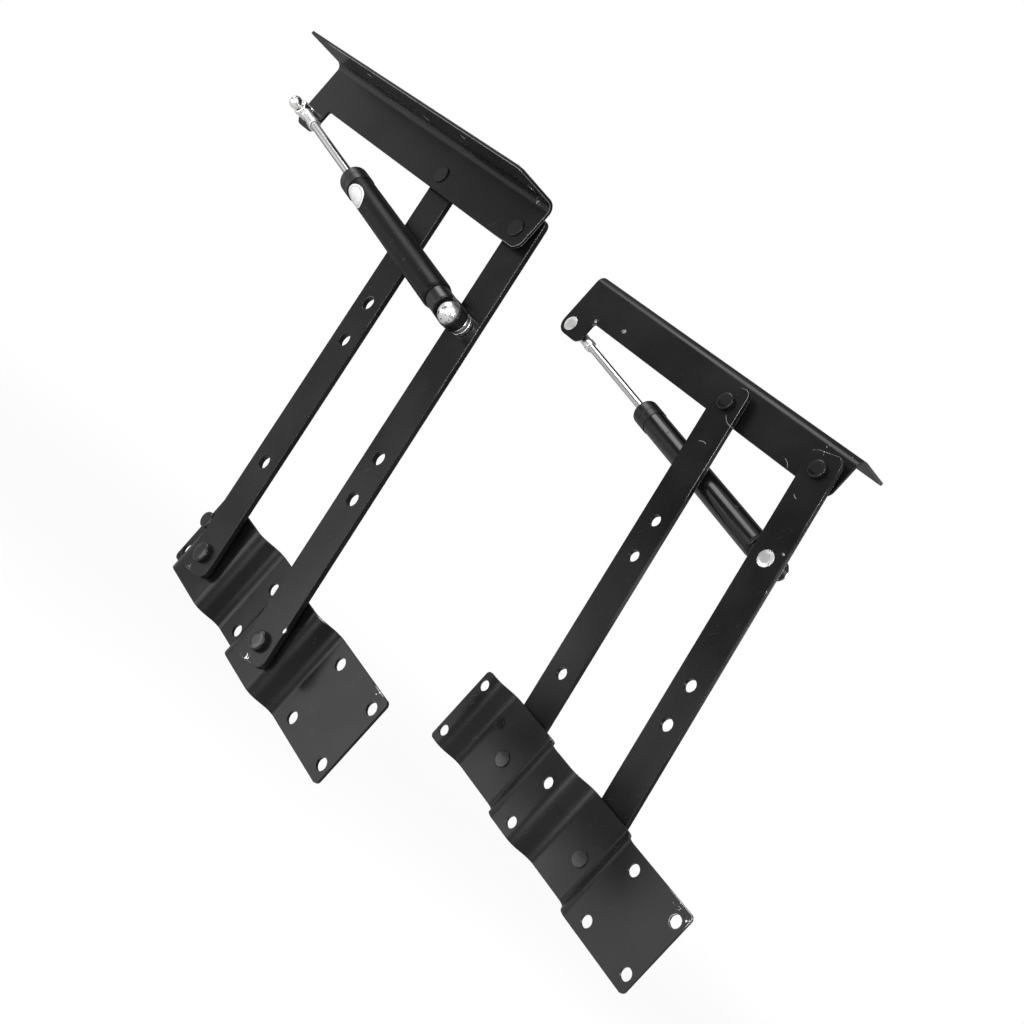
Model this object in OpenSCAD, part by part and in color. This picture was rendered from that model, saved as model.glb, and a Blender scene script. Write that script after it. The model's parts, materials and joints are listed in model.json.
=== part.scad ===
// Pair of lift-top table fittings: a left and a right hand, each with a base plate,
// two parallel arms, a top bracket and a gas spring. Millimetres, +Z up.
// Origin: centre of the four wall holes of the right hand's front pad, on its wall face.

/* [Arms] */
// Distance between the two pivots of one arm
arm_len = 285; // [270:1:310]
// Width of the flat bar
arm_w = 26.5; // [24:0.5:28]
// Thickness of the flat bar
arm_t = 4; // [3:0.5:5]
// Distance from a pivot to the end of the bar
arm_end = 13.5; // [12:0.5:15]
// Corner radius at the ends of the bar
arm_corner_r = 6; // [3:0.5:10]
// Distance between the rear and the front arm
arm_pitch = 95; // [90:1:105]
// Angle of the arms above the horizontal when the top is up
lift_angle = 104; // [100:1:108]
// Angle of the arms when the top is down
closed_angle = 18; // [18:1:30]
// Diameter of the spare holes in the arms
arm_hole_d = 9; // [5:0.5:10]
// Bevel round each spare hole
arm_hole_bevel = 0.5; // [0.2:0.1:0.8]
// Places of the rear arm's spare holes, measured down from its top pivot
rear_arm_holes = [95.5, 123.7, 216.7];
// Places of the front arm's spare holes, measured down from its top pivot
front_arm_holes = [159.3, 187.7];

/* [Base plate] */
// Thickness of the bent sheet
plate_t = 2; // [1.5:0.5:3]
// Height of the plate
plate_h = 60; // [54:1:70]
// Depth of the plate below the arm pivots
plate_drop = 26; // [22:1:30]
// How far the raised sections stand off the wall
raise = 13.2; // [10:0.2:16]
// Run of each slope between a pad and a raised section
slope_run = 9.6; // [8:0.2:12]
// Distance from the start of a raised section to its arm pivot
pivot_inset = 27; // [25:0.5:30]
// Flat length of the rear raised section
rear_raise_l = 48; // [46:1:52]
// Flat length of the front raised section
front_raise_l = 40.5; // [38:0.5:50]
// Flat length of the rear pad
rear_pad_l = 12.4; // [11:0.2:20]
// Flat length of the front pad
front_pad_l = 65; // [60:1:80]
// Radius of the bends on the rear side of each raised section
rear_bend_r = 6; // [3:0.5:7]
// Radius of the bends on its front side
front_bend_r = 6; // [2:0.5:7]
// Corner radius of the plate
plate_corner_r = 3; // [1:0.5:5]
// Diameter of the wall holes
wall_hole_d = 8; // [5:0.5:9]
// Spacing of the wall holes in the end pads
wall_hole_pitch = 41; // [36:1:44]
// Spacing of the two wall holes in the middle pad
mid_hole_pitch = 34; // [28:1:38]
// Distance from the plate's ends to the nearest row of wall holes, rear end first
wall_hole_edge = [5.5, 6.9];
// Distance of the middle holes in front of the middle of their pad
mid_hole_shift = 4.2; // [0:0.2:5]

/* [Top bracket] */
// Thickness of the bent sheet
rail_t = 2; // [1.5:0.5:3]
// Length of the rail
rail_l = 300; // [290:1:340]
// Height of the upright web
rail_h = 35; // [32:1:45]
// Width of the flange that the table top rests on
flange_w = 38; // [34:1:50]
// Distance from the rear top pivot to the rail's rear end
rail_rear = 192; // [185:1:200]
// Depth of the web below the top pivots
rail_drop = 10.6; // [9:0.2:10.8]
// Radius of the bend between web and flange
rail_bend_r = 4; // [1.5:0.5:5]
// Radius of the web's lower front corner
rail_corner_r = 7; // [2:0.5:9]
// Radius of the flange's two free corners
flange_corner_r = 4; // [1:0.5:10]
// Length of the lug that hangs from the web's rear end
lug_l = 30; // [26:1:36]
// Depth of the lug below the web
lug_drop = 20.2; // [17:0.2:24]
// Radius of the lug's rear corner
lug_rear_r = 10; // [6:0.5:10]
// Radius of the lug's front corner
lug_front_r = 7; // [3:0.5:8]
// Diameter of the screw holes in the flange
screw_hole_d = 5; // [3.5:0.5:6]
// Spacing of the flange screw holes along the rail
screw_pitch = 67.5; // [60:0.5:72]
// Distance from the rail's rear end to the first screw hole
screw_rear = 84.3; // [70:0.1:90]
// Distances of the screw holes from the web's outer face, outer row first
screw_rows = [27.5, 13.5];

/* [Pivots and fasteners] */
// Diameter of the pivot shanks
pivot_d = 8; // [6:0.5:9]
// Diameter of the bolt heads
head_d = 13; // [11:0.5:15]
// Height of the bolt heads
head_h = 3.8; // [2.5:0.1:4.2]
// Rounding of the bolt heads' rims
head_edge = 1; // [0.4:0.1:1.5]
// Diameter of the riveted tails
tail_d = 11.5; // [10:0.5:13]
// Height of the riveted tails
tail_h = 1; // [0.5:0.1:1.2]
// Thickness of the spacers under the arms
base_spacer_t = 3.2; // [2:0.1:5]
// Thickness of the spacers between the arms and the bracket
top_spacer_t = 4.4; // [4:0.1:6]
// Outer diameter of the spacers
spacer_d = 13; // [12:0.5:15]
// Diameter of the stop bolt's head
stop_d = 11; // [8:0.5:12]
// Diameter of the stop bolt's shank
stop_shank_d = 6; // [4:0.5:7]
// Distance of the stop bolt along the arm from the rear base pivot
stop_reach = 18.4; // [16:0.2:22]

/* [Gas spring] */
// Distance from the front arm's top pivot down to the gas spring's stud
stud_drop = 66.2; // [66:0.2:74]
// Place of the rod eye's pivot in the lug: from the rail's rear end and below the top pivots
lug_pivot = [10, 21.5];
// Outer diameter of the pressure tube
tube_d = 19; // [17:0.5:19.5]
// Wall of the pressure tube
tube_wall = 1.3; // [1:0.1:2]
// Distance from the stud to the closed end of the tube
tube_start = 21; // [20:0.5:24]
// Length of the pressure tube beyond the rod's stroke
tube_spare_l = 75; // [70:1:80]
// Diameter of the rod
rod_d = 6; // [5:0.5:7]
// Length of the cap on the rod end of the tube
cap_l = 16.5; // [12:0.5:20]
// Wall of the cap over the tube
cap_wall = 0.5; // [0.4:0.1:0.9]
// Gap between the ferrule and the bracket's lug
ferrule_gap = 1; // [0.6:0.1:2]
// Width of the lower socket and of its round neck
socket_d = 16.4; // [15:0.2:18]
// Thickness of the lower socket's eye
socket_t = 8; // [7:0.5:10]
// Diameter of the lower stud's collar
collar_d = 14.6; // [13:0.2:16]
// Height of the collar, which holds the socket off the arm
collar_h = 6; // [5:0.5:7]
// Diameter of the lower stud's domed head
dome_d = 14.8; // [13:0.2:16]
// Height of the domed head
dome_h = 6.8; // [4:0.2:7]
// Diameter of the bright riveted tails of the studs
stud_tail_d = 12.2; // [11:0.2:14]
// Diameter of the ferrule on the rod
ferrule_d = 9; // [8:0.5:11]
// Distance from the rod eye's pivot to the rod end of the ferrule
ferrule_reach = 29; // [26:0.5:32]
// Diameter of the rod eye
eye_d = 11.5; // [11:0.5:14]
// Diameter of the ball on the rod eye's pin
ball_d = 9.6; // [9:0.2:11]
// Diameter of the lug stud's foot and of the foot of the rod eye's pin
foot_d = 11; // [10:0.5:13]

/* [Placement of the pair] */
// Distance between the wall faces of the two hands
pair_spacing = 160; // [100:5:300]
// Distance by which the left hand stands behind the right hand
left_back = 130; // [0:5:200]
// Distance by which the left hand stands below the right hand
left_down = 20; // [0:5:60]

/* [Hidden] */

paint = "#1b1b1d";
bright = "silver";

// Gaps: round a turning shank, beside a turning arm, round a fixed piece, at the open pivot
run_gap = 0.05;
side_gap = 0.1;
fit_gap = 0.05;
open_gap = 0.3;
// Length by which a cutting shape runs past the face that it cuts
past = 1;
// Number of flat steps in a rounded corner
corner_steps = 8;

// Layers of one hand, counted from the wall face
raise_face = raise + plate_t;
arm_face = raise_face + base_spacer_t + side_gap;
arm_back = arm_face + arm_t;
rail_face = arm_back + side_gap + top_spacer_t;
rail_back = rail_face + rail_t;
gas_y = rail_back + ferrule_gap + ferrule_d / 2;

// Stations along the base plate, counted from the rear base pivot
rear_raise_start = -pivot_inset;
rear_raise_end = rear_raise_start + rear_raise_l;
front_raise_start = arm_pitch - pivot_inset;
front_raise_end = front_raise_start + front_raise_l;
rear_pad_end = rear_raise_start - slope_run;
plate_start = rear_pad_end - rear_pad_l;
mid_pad_start = rear_raise_end + slope_run;
mid_pad_end = front_raise_start - slope_run;
front_pad_start = front_raise_end + slope_run;
plate_end = front_pad_start + front_pad_l;
plate_low = -plate_drop;
plate_high = plate_h - plate_drop;
plate_mid_z = (plate_low + plate_high) / 2;
mid_hole_x = (mid_pad_start + mid_pad_end) / 2 + mid_hole_shift;
front_holes_x = plate_end - wall_hole_edge[1] - wall_hole_pitch / 2;

// Corners of the plate's middle line as [along, layer], and the radii of its bends
pad_mid = plate_t / 2;
raise_mid = raise + plate_t / 2;
plate_line = [
    [plate_start, pad_mid], [rear_pad_end, pad_mid], [rear_raise_start, raise_mid],
    [rear_raise_end, raise_mid], [mid_pad_start, pad_mid], [mid_pad_end, pad_mid],
    [front_raise_start, raise_mid], [front_raise_end, raise_mid], [front_pad_start, pad_mid],
    [plate_end, pad_mid]
];
plate_bends = [
    rear_bend_r, rear_bend_r, front_bend_r, front_bend_r,
    rear_bend_r, rear_bend_r, front_bend_r, front_bend_r
];

// Pivots as [along, up] from the rear base pivot
arm_dir = [cos(lift_angle), sin(lift_angle)];
arm_side = [-sin(lift_angle), cos(lift_angle)];
rear_base = [0, 0];
front_base = [arm_pitch, 0];
rear_top = rear_base + arm_len * arm_dir;
front_top = front_base + arm_len * arm_dir;
stud_at = front_top - stud_drop * arm_dir;
rail_start = rear_top.x - rail_rear;
eye_at = [rail_start + lug_pivot.x, rear_top.y - lug_pivot.y];
rail_low = rear_top.y - rail_drop;
rail_top = rail_low + rail_h;
stop_at = stop_reach * arm_dir + (arm_w / 2 + stop_d / 2 + side_gap) * arm_side;

// Gas spring at rest, and its length with the top down
gas_line = eye_at - stud_at;
gas_len = norm(gas_line);
gas_angle = atan2(gas_line.y, gas_line.x);
closed_dir = [cos(closed_angle), sin(closed_angle)];
closed_line = (eye_at - front_top) + stud_drop * closed_dir;
stroke = gas_len - norm(closed_line);
tube_l = stroke + tube_spare_l;

// Parts inside the tube
tube_bore_d = tube_d - 2 * tube_wall;
tube_end = tube_start + tube_l;
guide_l = 12;
guide_lip = 2;
seal_l = 5;
piston_l = 6;
piston_ring_t = 2;
piston_gap = 3;
guide_start = tube_end - guide_lip - guide_l;
seal_start = guide_start - seal_l;
piston_start = seal_start - piston_gap - piston_l;
base_wall = 3;
end_stud_d = 6;
end_stud_l = 10;
cap_face_t = 2;
cap_end = tube_end + cap_face_t;
cap_groove_w = 1.2;
cap_groove_depth = 0.2;

// End fittings
socket_face = arm_back + collar_h + side_gap;
socket_back = socket_face + socket_t;
socket_shoulder = socket_d / 2 + 0.5;
stud_tail_h = 0.8;
foot_h = 0.9;
pin_foot_h = 1;
lug_stud_face = rail_back + foot_h;
pin_face = lug_stud_face + open_gap;
eye_face = pin_face + pin_foot_h;
eye_reach = 4.2;
eye_back = gas_y + eye_reach;
eye_neck_d = 6.4;
ball_sink = 1;
ball_y = eye_back + ball_d / 2 - ball_sink;
rod_screw_l = 8;
ferrule_in = 9;

function unit(v) = v / norm(v);
function left_of(v) = [-v.y, v.x] / norm(v);

// Points of corner b of an outline a-b-c, rounded to radius r
function round_corner(a, b, c, r) =
    r == 0 ? [b] :
    let (to_a = unit(a - b), to_c = unit(c - b), half = acos(to_a * to_c) / 2)
    let (centre = b + unit(to_a + to_c) * r / sin(half), first = b + to_a * r / tan(half) - centre)
    let (start = atan2(first.y, first.x), turn = sign(cross(b - a, c - b)) * (180 - 2 * half))
    [for (k = [0:corner_steps]) centre + r * [cos(start + turn * k / corner_steps),
                                              sin(start + turn * k / corner_steps)]];

// Outline with each corner rounded to its own radius
function rounded(points, radii) = [
    for (i = [0:len(points) - 1])
        let (n = len(points))
        for (p = round_corner(points[(i + n - 1) % n], points[i], points[(i + 1) % n], radii[i])) p
];

// One side of a bent sheet: the middle line's corners moved sideways, each bent to a radius
function bend_arc(a, b, c, r, side) =
    let (in_dir = unit(b - a), out_dir = unit(c - b), way = sign(cross(in_dir, out_dir)))
    let (half = acos(in_dir * out_dir) / 2, centre = b + unit(out_dir - in_dir) * r / cos(half))
    let (first = b - in_dir * r * tan(half) - centre, start = atan2(first.y, first.x))
    [for (k = [0:corner_steps]) centre + (r - way * side)
        * [cos(start + way * 2 * half * k / corner_steps),
           sin(start + way * 2 * half * k / corner_steps)]];

function sheet_side(points, radii, side) = let (n = len(points)) concat(
    [points[0] + side * left_of(points[1] - points[0])],
    [for (i = [1:n - 2]) for (p = bend_arc(points[i - 1], points[i], points[i + 1], radii[i - 1], side)) p],
    [points[n - 1] + side * left_of(points[n - 1] - points[n - 2])]
);

function reversed(list) = [for (i = [len(list) - 1:-1:0]) list[i]];

// Cross-section of a bent sheet of thickness t along the corners of its middle line
function sheet_section(points, radii, t) = concat(
    sheet_side(points, radii, t / 2), reversed(sheet_side(points, radii, -t / 2)));

// Outline in the upright plane, drawn as [along, up], made into a slab from one layer to another
module slab(points, from, to) {
    translate([0, to, 0]) rotate([90, 0, 0]) linear_extrude(height = to - from) polygon(points);
}

// Turned piece about an axis across the fitting; the profile is [radius, layer]
module turned(at, profile) {
    translate([at.x, 0, at.y]) rotate([-90, 0, 0]) rotate_extrude($fn = 72) polygon(profile);
}

// Round hole across the fitting, from one layer to another
module cross_hole(at, d, from, to) {
    translate([at.x, to + past, at.y]) rotate([90, 0, 0])
        cylinder(d = d, h = to - from + 2 * past, $fn = 64);
}

// Bevel round a hole's mouth at one layer; way is 1 for a mouth that faces the wall, -1 for the other
module hole_bevel(at, d, layer, way) {
    translate([at.x, layer, at.y]) rotate([-90 * way, 0, 0]) translate([0, 0, -arm_hole_bevel])
        cylinder(d1 = d + 4 * arm_hole_bevel, d2 = d, h = 2 * arm_hole_bevel, $fn = 64);
}

// Local frame of the gas spring: origin at the stud, +Z towards the rod eye
module along_gas() {
    translate([stud_at.x, gas_y, stud_at.y]) rotate([0, 90 - gas_angle, 0]) children();
}

// Turned piece on the gas spring's axis; the profile is [radius, distance from the stud]
module gas_turned(profile) {
    rotate_extrude($fn = 72) polygon(profile);
}

module right_hand() {
    translate([-front_holes_x, 0, -plate_mid_z]) children();
}

module left_hand() {
    translate([-front_holes_x - left_back, -pair_spacing, -plate_mid_z - left_down])
        mirror([0, 1, 0]) children();
}

// The bent sheet before its outline and holes are cut
module plate_sheet() {
    translate([0, 0, plate_low]) linear_extrude(height = plate_high - plate_low)
        polygon(sheet_section(plate_line, plate_bends, plate_t));
}

module base_plate() {
    r = plate_corner_r;
    outline = rounded([[plate_start, plate_low], [plate_end, plate_low],
                       [plate_end, plate_high], [plate_start, plate_high]], [r, r, r, r]);
    color(paint) difference() {
        intersection() {
            plate_sheet();
            slab(outline, -past, raise_face + past);
        }
        for (side = [-1, 1]) {
            z = plate_mid_z + side * wall_hole_pitch / 2;
            cross_hole([plate_start + wall_hole_edge[0], z], wall_hole_d, 0, plate_t);
            cross_hole([plate_end - wall_hole_edge[1], z], wall_hole_d, 0, plate_t);
            cross_hole([plate_end - wall_hole_edge[1] - wall_hole_pitch, z], wall_hole_d, 0, plate_t);
            cross_hole([mid_hole_x, side * mid_hole_pitch / 2], wall_hole_d, 0, plate_t);
        }
        for (at = [rear_base, front_base])
            cross_hole(at, pivot_d + 2 * fit_gap, raise, raise_face);
        cross_hole(stop_at, stop_shank_d + 2 * fit_gap, raise - 2 * plate_t, raise_face);
    }
}

// Shoulder bolt with a round head and a riveted tail; layers run from tail to head
module pivot_bolt(at, tail_layer, tail_way, head_layer) {
    tail_tip = tail_layer - tail_way * tail_h;
    head_tip = head_layer + tail_way * head_h;
    outline = [[0, tail_tip], [tail_d / 2, tail_tip], [tail_d / 2, tail_layer],
               [pivot_d / 2, tail_layer], [pivot_d / 2, head_layer], [head_d / 2, head_layer],
               [head_d / 2, head_tip], [0, head_tip]];
    color(paint) turned(at, rounded(outline, [0, tail_h / 2, 0, 0, 0, 0, head_edge, 0]));
}

module rear_base_bolt() {
    pivot_bolt(rear_base, raise, 1, arm_back + side_gap);
}

module front_base_bolt() {
    pivot_bolt(front_base, raise, 1, arm_back + side_gap);
}

module rear_top_bolt() {
    pivot_bolt(rear_top, rail_back, -1, arm_face - side_gap);
}

module front_top_bolt() {
    pivot_bolt(front_top, rail_back, -1, arm_face - side_gap);
}

// Peg that the rear arm leans on; its riveted tail follows the bend of the sheet
module stop_bolt() {
    tail_r = stop_d / 2 - 1;
    tail_tip = raise - tail_h;
    head_tip = arm_back - side_gap;
    tail = [[0, tail_tip], [tail_r, tail_tip], [tail_r, raise], [0, raise]];
    peg = [[0, tail_tip], [stop_shank_d / 2, tail_tip], [stop_shank_d / 2, raise_face],
           [stop_d / 2, raise_face], [stop_d / 2, head_tip], [0, head_tip]];
    color(paint) {
        turned(stop_at, rounded(peg, [0, 0, 0, 0, head_edge, 0]));
        difference() {
            turned(stop_at, rounded(tail, [0, tail_h / 2, 0, 0]));
            plate_sheet();
        }
    }
}

// Ring between two layers that fits round a pivot shank
module spacer(at, from, to) {
    color(paint) turned(at, [[pivot_d / 2 + run_gap, from], [spacer_d / 2, from],
                             [spacer_d / 2, to], [pivot_d / 2 + run_gap, to]]);
}

module base_spacers() {
    for (at = [rear_base, front_base])
        spacer(at, raise_face, raise_face + base_spacer_t);
}

module top_spacers() {
    for (at = [rear_top, front_top])
        spacer(at, rail_face - top_spacer_t, rail_face);
}

// Flat bar from a base pivot, with pivot bores and spare holes; places are measured from its top pivot
module arm(base, holes, extra_bore) {
    half = arm_w / 2;
    ends = [[-arm_end, -half], [arm_len + arm_end, -half], [arm_len + arm_end, half], [-arm_end, half]];
    r = min(arm_corner_r, half - 1);
    color(paint) translate([base.x, 0, base.y]) rotate([0, -lift_angle, 0]) difference() {
        slab(rounded(ends, [r, r, r, r]), arm_face, arm_back);
        for (s = [0, arm_len])
            cross_hole([s, 0], pivot_d + 2 * run_gap, arm_face, arm_back);
        for (s = holes) {
            cross_hole([arm_len - s, 0], arm_hole_d, arm_face, arm_back);
            hole_bevel([arm_len - s, 0], arm_hole_d, arm_face, 1);
            hole_bevel([arm_len - s, 0], arm_hole_d, arm_back, -1);
        }
        for (s = extra_bore)
            cross_hole([arm_len - s, 0], pivot_d + 2 * fit_gap, arm_face, arm_back);
    }
}

module rear_arm() {
    arm(rear_base, rear_arm_holes, []);
}

module front_arm() {
    arm(front_base, front_arm_holes, [stud_drop]);
}

module top_bracket() {
    lug_low = rail_low - lug_drop;
    rail_end = rail_start + rail_l;
    lug_end = rail_start + lug_l;
    notch_r = 2;
    web = rounded([[rail_start, lug_low], [lug_end, lug_low], [lug_end, rail_low],
                   [rail_end, rail_low], [rail_end, rail_top + past], [rail_start, rail_top + past]],
                  [lug_rear_r, lug_front_r, notch_r, rail_corner_r, 0, 0]);
    plan = rounded([[rail_start, rail_face - past], [rail_end, rail_face - past],
                    [rail_end, rail_face + flange_w], [rail_start, rail_face + flange_w]],
                   [0, 0, flange_corner_r, flange_corner_r]);
    line = [[rail_face + rail_t / 2, lug_low - past], [rail_face + rail_t / 2, rail_top - rail_t / 2],
            [rail_face + flange_w + past, rail_top - rail_t / 2]];
    color(paint) difference() {
        intersection() {
            translate([rail_start, 0, 0]) rotate([90, 0, 90]) linear_extrude(height = rail_l)
                polygon(sheet_section(line, [rail_bend_r], rail_t));
            slab(web, rail_face - past, rail_face + flange_w + past);
            translate([0, 0, lug_low - past]) linear_extrude(height = rail_top - lug_low + 2 * past)
                polygon(plan);
        }
        for (at = [rear_top, front_top])
            cross_hole(at, pivot_d + 2 * fit_gap, rail_face, rail_back);
        cross_hole(eye_at, pivot_d + 2 * fit_gap, rail_face, rail_back);
        for (k = [0:3])
            translate([rail_start + screw_rear + k * screw_pitch, rail_face + screw_rows[k % 2], rail_top])
                translate([0, 0, -rail_t - past])
                    cylinder(d = screw_hole_d, h = rail_t + 2 * past, $fn = 48);
    }
}

// Profile of a domed head from its rim at one layer up to its top
function dome(d, h, from) =
    let (r = (d * d / 4 + h * h) / (2 * h), rim = asin(min(1, d / 2 / r)))
    [for (k = [corner_steps:-1:0]) [r * sin(rim * k / corner_steps),
                                    from + h - r + r * cos(rim * k / corner_steps)]];

// Stud riveted in the front arm: tail, shank, collar, pin and domed head over the socket
module lower_stud() {
    tail_tip = arm_face - stud_tail_h;
    collar_end = socket_face - side_gap;
    head_start = socket_back + side_gap;
    outline = [[0, tail_tip], [stud_tail_d / 2, tail_tip], [stud_tail_d / 2, arm_face],
               [pivot_d / 2, arm_face], [pivot_d / 2, arm_back], [collar_d / 2, arm_back],
               [collar_d / 2, collar_end], [pivot_d / 2, collar_end], [pivot_d / 2, head_start]];
    color(bright) turned(stud_at, concat(rounded(outline, [0, 0.3, 0, 0, 0, 0.4, 0.6, 0, 0]),
                                         dome(dome_d, dome_h, head_start)));
}

// Black end fitting: a flat eye on the stud and a round neck that the tube's end stud screws into
module lower_socket() {
    eye = [[0, socket_face], [socket_d / 2, socket_face], [socket_d / 2, socket_back], [0, socket_back]];
    neck = [[0, socket_shoulder], [socket_d / 2, socket_shoulder],
            [socket_d / 2, tube_start], [0, tube_start]];
    color(paint) difference() {
        union() {
            turned(stud_at, rounded(eye, [0, 1, 1, 0]));
            along_gas() translate([-socket_d / 2, socket_face - gas_y, 0])
                cube([socket_d, socket_t, socket_shoulder]);
            along_gas() gas_turned(rounded(neck, [0, 1, 0.5, 0]));
        }
        cross_hole(stud_at, pivot_d + 2 * run_gap, socket_face, socket_back);
        along_gas() translate([0, 0, tube_start - end_stud_l - fit_gap])
            cylinder(d = end_stud_d + 2 * fit_gap, h = end_stud_l + past, $fn = 48);
    }
}

// Pressure tube: closed end with its end stud, bore, and an open end rolled in over the guide
module gas_tube() {
    stud_tip = tube_start - end_stud_l;
    r_in = tube_bore_d / 2;
    lip_r = r_in - 1.5;
    outline = [[0, stud_tip], [end_stud_d / 2, stud_tip], [end_stud_d / 2, tube_start],
               [tube_d / 2, tube_start], [tube_d / 2, tube_end], [lip_r, tube_end],
               [lip_r, tube_end - guide_lip], [r_in, tube_end - guide_lip],
               [r_in, tube_start + base_wall], [0, tube_start + base_wall]];
    color(paint) along_gas() gas_turned(rounded(outline, [0, 0.5, 0, 2, 1.5, 0, 0, 0, 1, 0]));
}

// Collar pressed over the rod end of the tube, with a round rim and one turned groove
module tube_cap() {
    r_in = tube_d / 2 + fit_gap;
    r_out = tube_d / 2 + cap_wall;
    r_low = r_out - cap_groove_depth;
    start = cap_end - cap_l;
    groove = cap_end - cap_l * 0.62;
    outline = [[r_in, start], [r_out, start], [r_out, groove], [r_low, groove],
               [r_low, groove + cap_groove_w], [r_out, groove + cap_groove_w], [r_out, cap_end],
               [rod_d / 2 + 1, cap_end], [rod_d / 2 + 1, tube_end], [r_in, tube_end]];
    color(paint) along_gas() gas_turned(rounded(outline, [0, 0.4, 0, 0, 0, 0, 2.2, 0.5, 0, 0]));
}

// Ring inside the tube, round the rod
module guide_ring(start, length, r_out, r_in) {
    along_gas() gas_turned([[r_in, start], [r_out, start], [r_out, start + length], [r_in, start + length]]);
}

module rod_guide() {
    color("goldenrod") guide_ring(guide_start, guide_l, tube_bore_d / 2 - fit_gap, rod_d / 2 + run_gap);
}

module rod_seal() {
    color("dimgray") guide_ring(seal_start, seal_l, tube_bore_d / 2 - fit_gap, rod_d / 2 + run_gap);
}

module piston() {
    color("gray") along_gas() difference() {
        gas_turned([[0, piston_start], [tube_bore_d / 2 - 2 * fit_gap, piston_start],
                    [tube_bore_d / 2 - 2 * fit_gap, piston_start + piston_l / 2 - piston_ring_t / 2],
                    [tube_bore_d / 2 - 1.5, piston_start + piston_l / 2 - piston_ring_t / 2],
                    [tube_bore_d / 2 - 1.5, piston_start + piston_l / 2 + piston_ring_t / 2],
                    [tube_bore_d / 2 - 2 * fit_gap, piston_start + piston_l / 2 + piston_ring_t / 2],
                    [tube_bore_d / 2 - 2 * fit_gap, piston_start + piston_l],
                    [0, piston_start + piston_l]]);
        translate([0, 0, piston_start + piston_l / 2])
            cylinder(d = rod_d + 2 * fit_gap, h = piston_l, $fn = 72);
    }
}

module piston_ring() {
    color("dimgray") guide_ring(piston_start + piston_l / 2 - piston_ring_t / 2 + fit_gap,
                                piston_ring_t - 2 * fit_gap, tube_bore_d / 2 - fit_gap,
                                tube_bore_d / 2 - 1.5 + fit_gap);
}

module gas_rod() {
    start = piston_start + piston_l / 2;
    end = gas_len - ferrule_reach + rod_screw_l;
    outline = [[0, start], [rod_d / 2, start], [rod_d / 2, end], [0, end]];
    color(bright) along_gas() gas_turned(rounded(outline, [0, 0, 0.5, 0]));
}

module rod_ferrule() {
    start = gas_len - ferrule_reach;
    end = gas_len - ferrule_in;
    outline = [[rod_d / 2 + fit_gap, start], [ferrule_d / 2, start], [ferrule_d / 2, end], [0, end],
               [0, start + rod_screw_l], [rod_d / 2 + fit_gap, start + rod_screw_l]];
    color(bright) along_gas() gas_turned(rounded(outline, [0, 0.8, 0.4, 0, 0, 0]));
}

// Bright eye with a short neck that meets the ferrule; its open pivot stands clear of the lug stud
module rod_eye() {
    outline = [[0, eye_face], [eye_d / 2, eye_face], [eye_d / 2, eye_back], [0, eye_back]];
    color(bright) difference() {
        union() {
            turned(eye_at, rounded(outline, [0, 1.5, 1.5, 0]));
            along_gas() translate([0, 0, gas_len - ferrule_in])
                cylinder(d = eye_neck_d, h = ferrule_in, $fn = 48);
        }
        cross_hole(eye_at, pivot_d + 2 * run_gap, eye_face, eye_back);
    }
}

// Pin through the rod eye: a foot that faces the lug stud, the shank, and a round ball end
module ball_pin() {
    color(bright) union() {
        turned(eye_at, [[0, pin_face], [foot_d / 2, pin_face], [foot_d / 2, eye_face],
                        [pivot_d / 2, eye_face], [pivot_d / 2, eye_back], [0, eye_back]]);
        intersection() {
            translate([eye_at.x, ball_y, eye_at.y]) sphere(d = ball_d, $fn = 64);
            turned(eye_at, [[0, eye_back], [ball_d, eye_back],
                            [ball_d, eye_back + ball_d], [0, eye_back + ball_d]]);
        }
    }
}

module lug_stud() {
    tail_tip = rail_face - stud_tail_h;
    outline = [[0, tail_tip], [stud_tail_d / 2, tail_tip], [stud_tail_d / 2, rail_face],
               [pivot_d / 2, rail_face], [pivot_d / 2, rail_back], [foot_d / 2, rail_back],
               [foot_d / 2, lug_stud_face], [0, lug_stud_face]];
    color(bright) turned(eye_at, rounded(outline, [0, 0.3, 0, 0, 0, 0, 0.3, 0]));
}

// Blank oval label that lies round the tube below its cap
module tube_label() {
    length = 24;
    width = 14;
    gap_to_cap = 1.5;
    label_t = 0.15;
    label_turn = 25;
    mid = cap_end - cap_l - gap_to_cap - length / 2;
    oval = [for (a = [0:10:350]) [width / 2 * cos(a), length / 2 * sin(a)]];
    color("white") along_gas() intersection() {
        translate([0, 0, mid - length]) difference() {
            cylinder(r = tube_d / 2 + label_t, h = 2 * length, $fn = 72);
            translate([0, 0, -past]) cylinder(r = tube_d / 2, h = 2 * length + 2 * past, $fn = 72);
        }
        translate([0, 0, mid]) rotate([0, 0, label_turn]) rotate([90, 0, 180])
            linear_extrude(height = tube_d) polygon(oval);
    }
}

right_hand() base_plate();  // right_base_plate
right_hand() stop_bolt();  // right_stop_bolt
right_hand() rear_base_bolt();  // right_rear_base_bolt
right_hand() front_base_bolt();  // right_front_base_bolt
right_hand() base_spacers();  // right_base_spacers
right_hand() rear_arm();  // right_rear_arm
right_hand() front_arm();  // right_front_arm
right_hand() top_bracket();  // right_top_bracket
right_hand() rear_top_bolt();  // right_rear_top_bolt
right_hand() front_top_bolt();  // right_front_top_bolt
right_hand() top_spacers();  // right_top_spacers
right_hand() lower_stud();  // right_lower_stud
right_hand() lower_socket();  // right_lower_socket
right_hand() gas_tube();  // right_gas_tube
right_hand() tube_cap();  // right_tube_cap
right_hand() rod_guide();  // right_rod_guide
right_hand() rod_seal();  // right_rod_seal
right_hand() piston();  // right_piston
right_hand() piston_ring();  // right_piston_ring
right_hand() gas_rod();  // right_gas_rod
right_hand() rod_ferrule();  // right_rod_ferrule
right_hand() rod_eye();  // right_rod_eye
right_hand() ball_pin();  // right_ball_pin
right_hand() lug_stud();  // right_lug_stud
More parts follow.
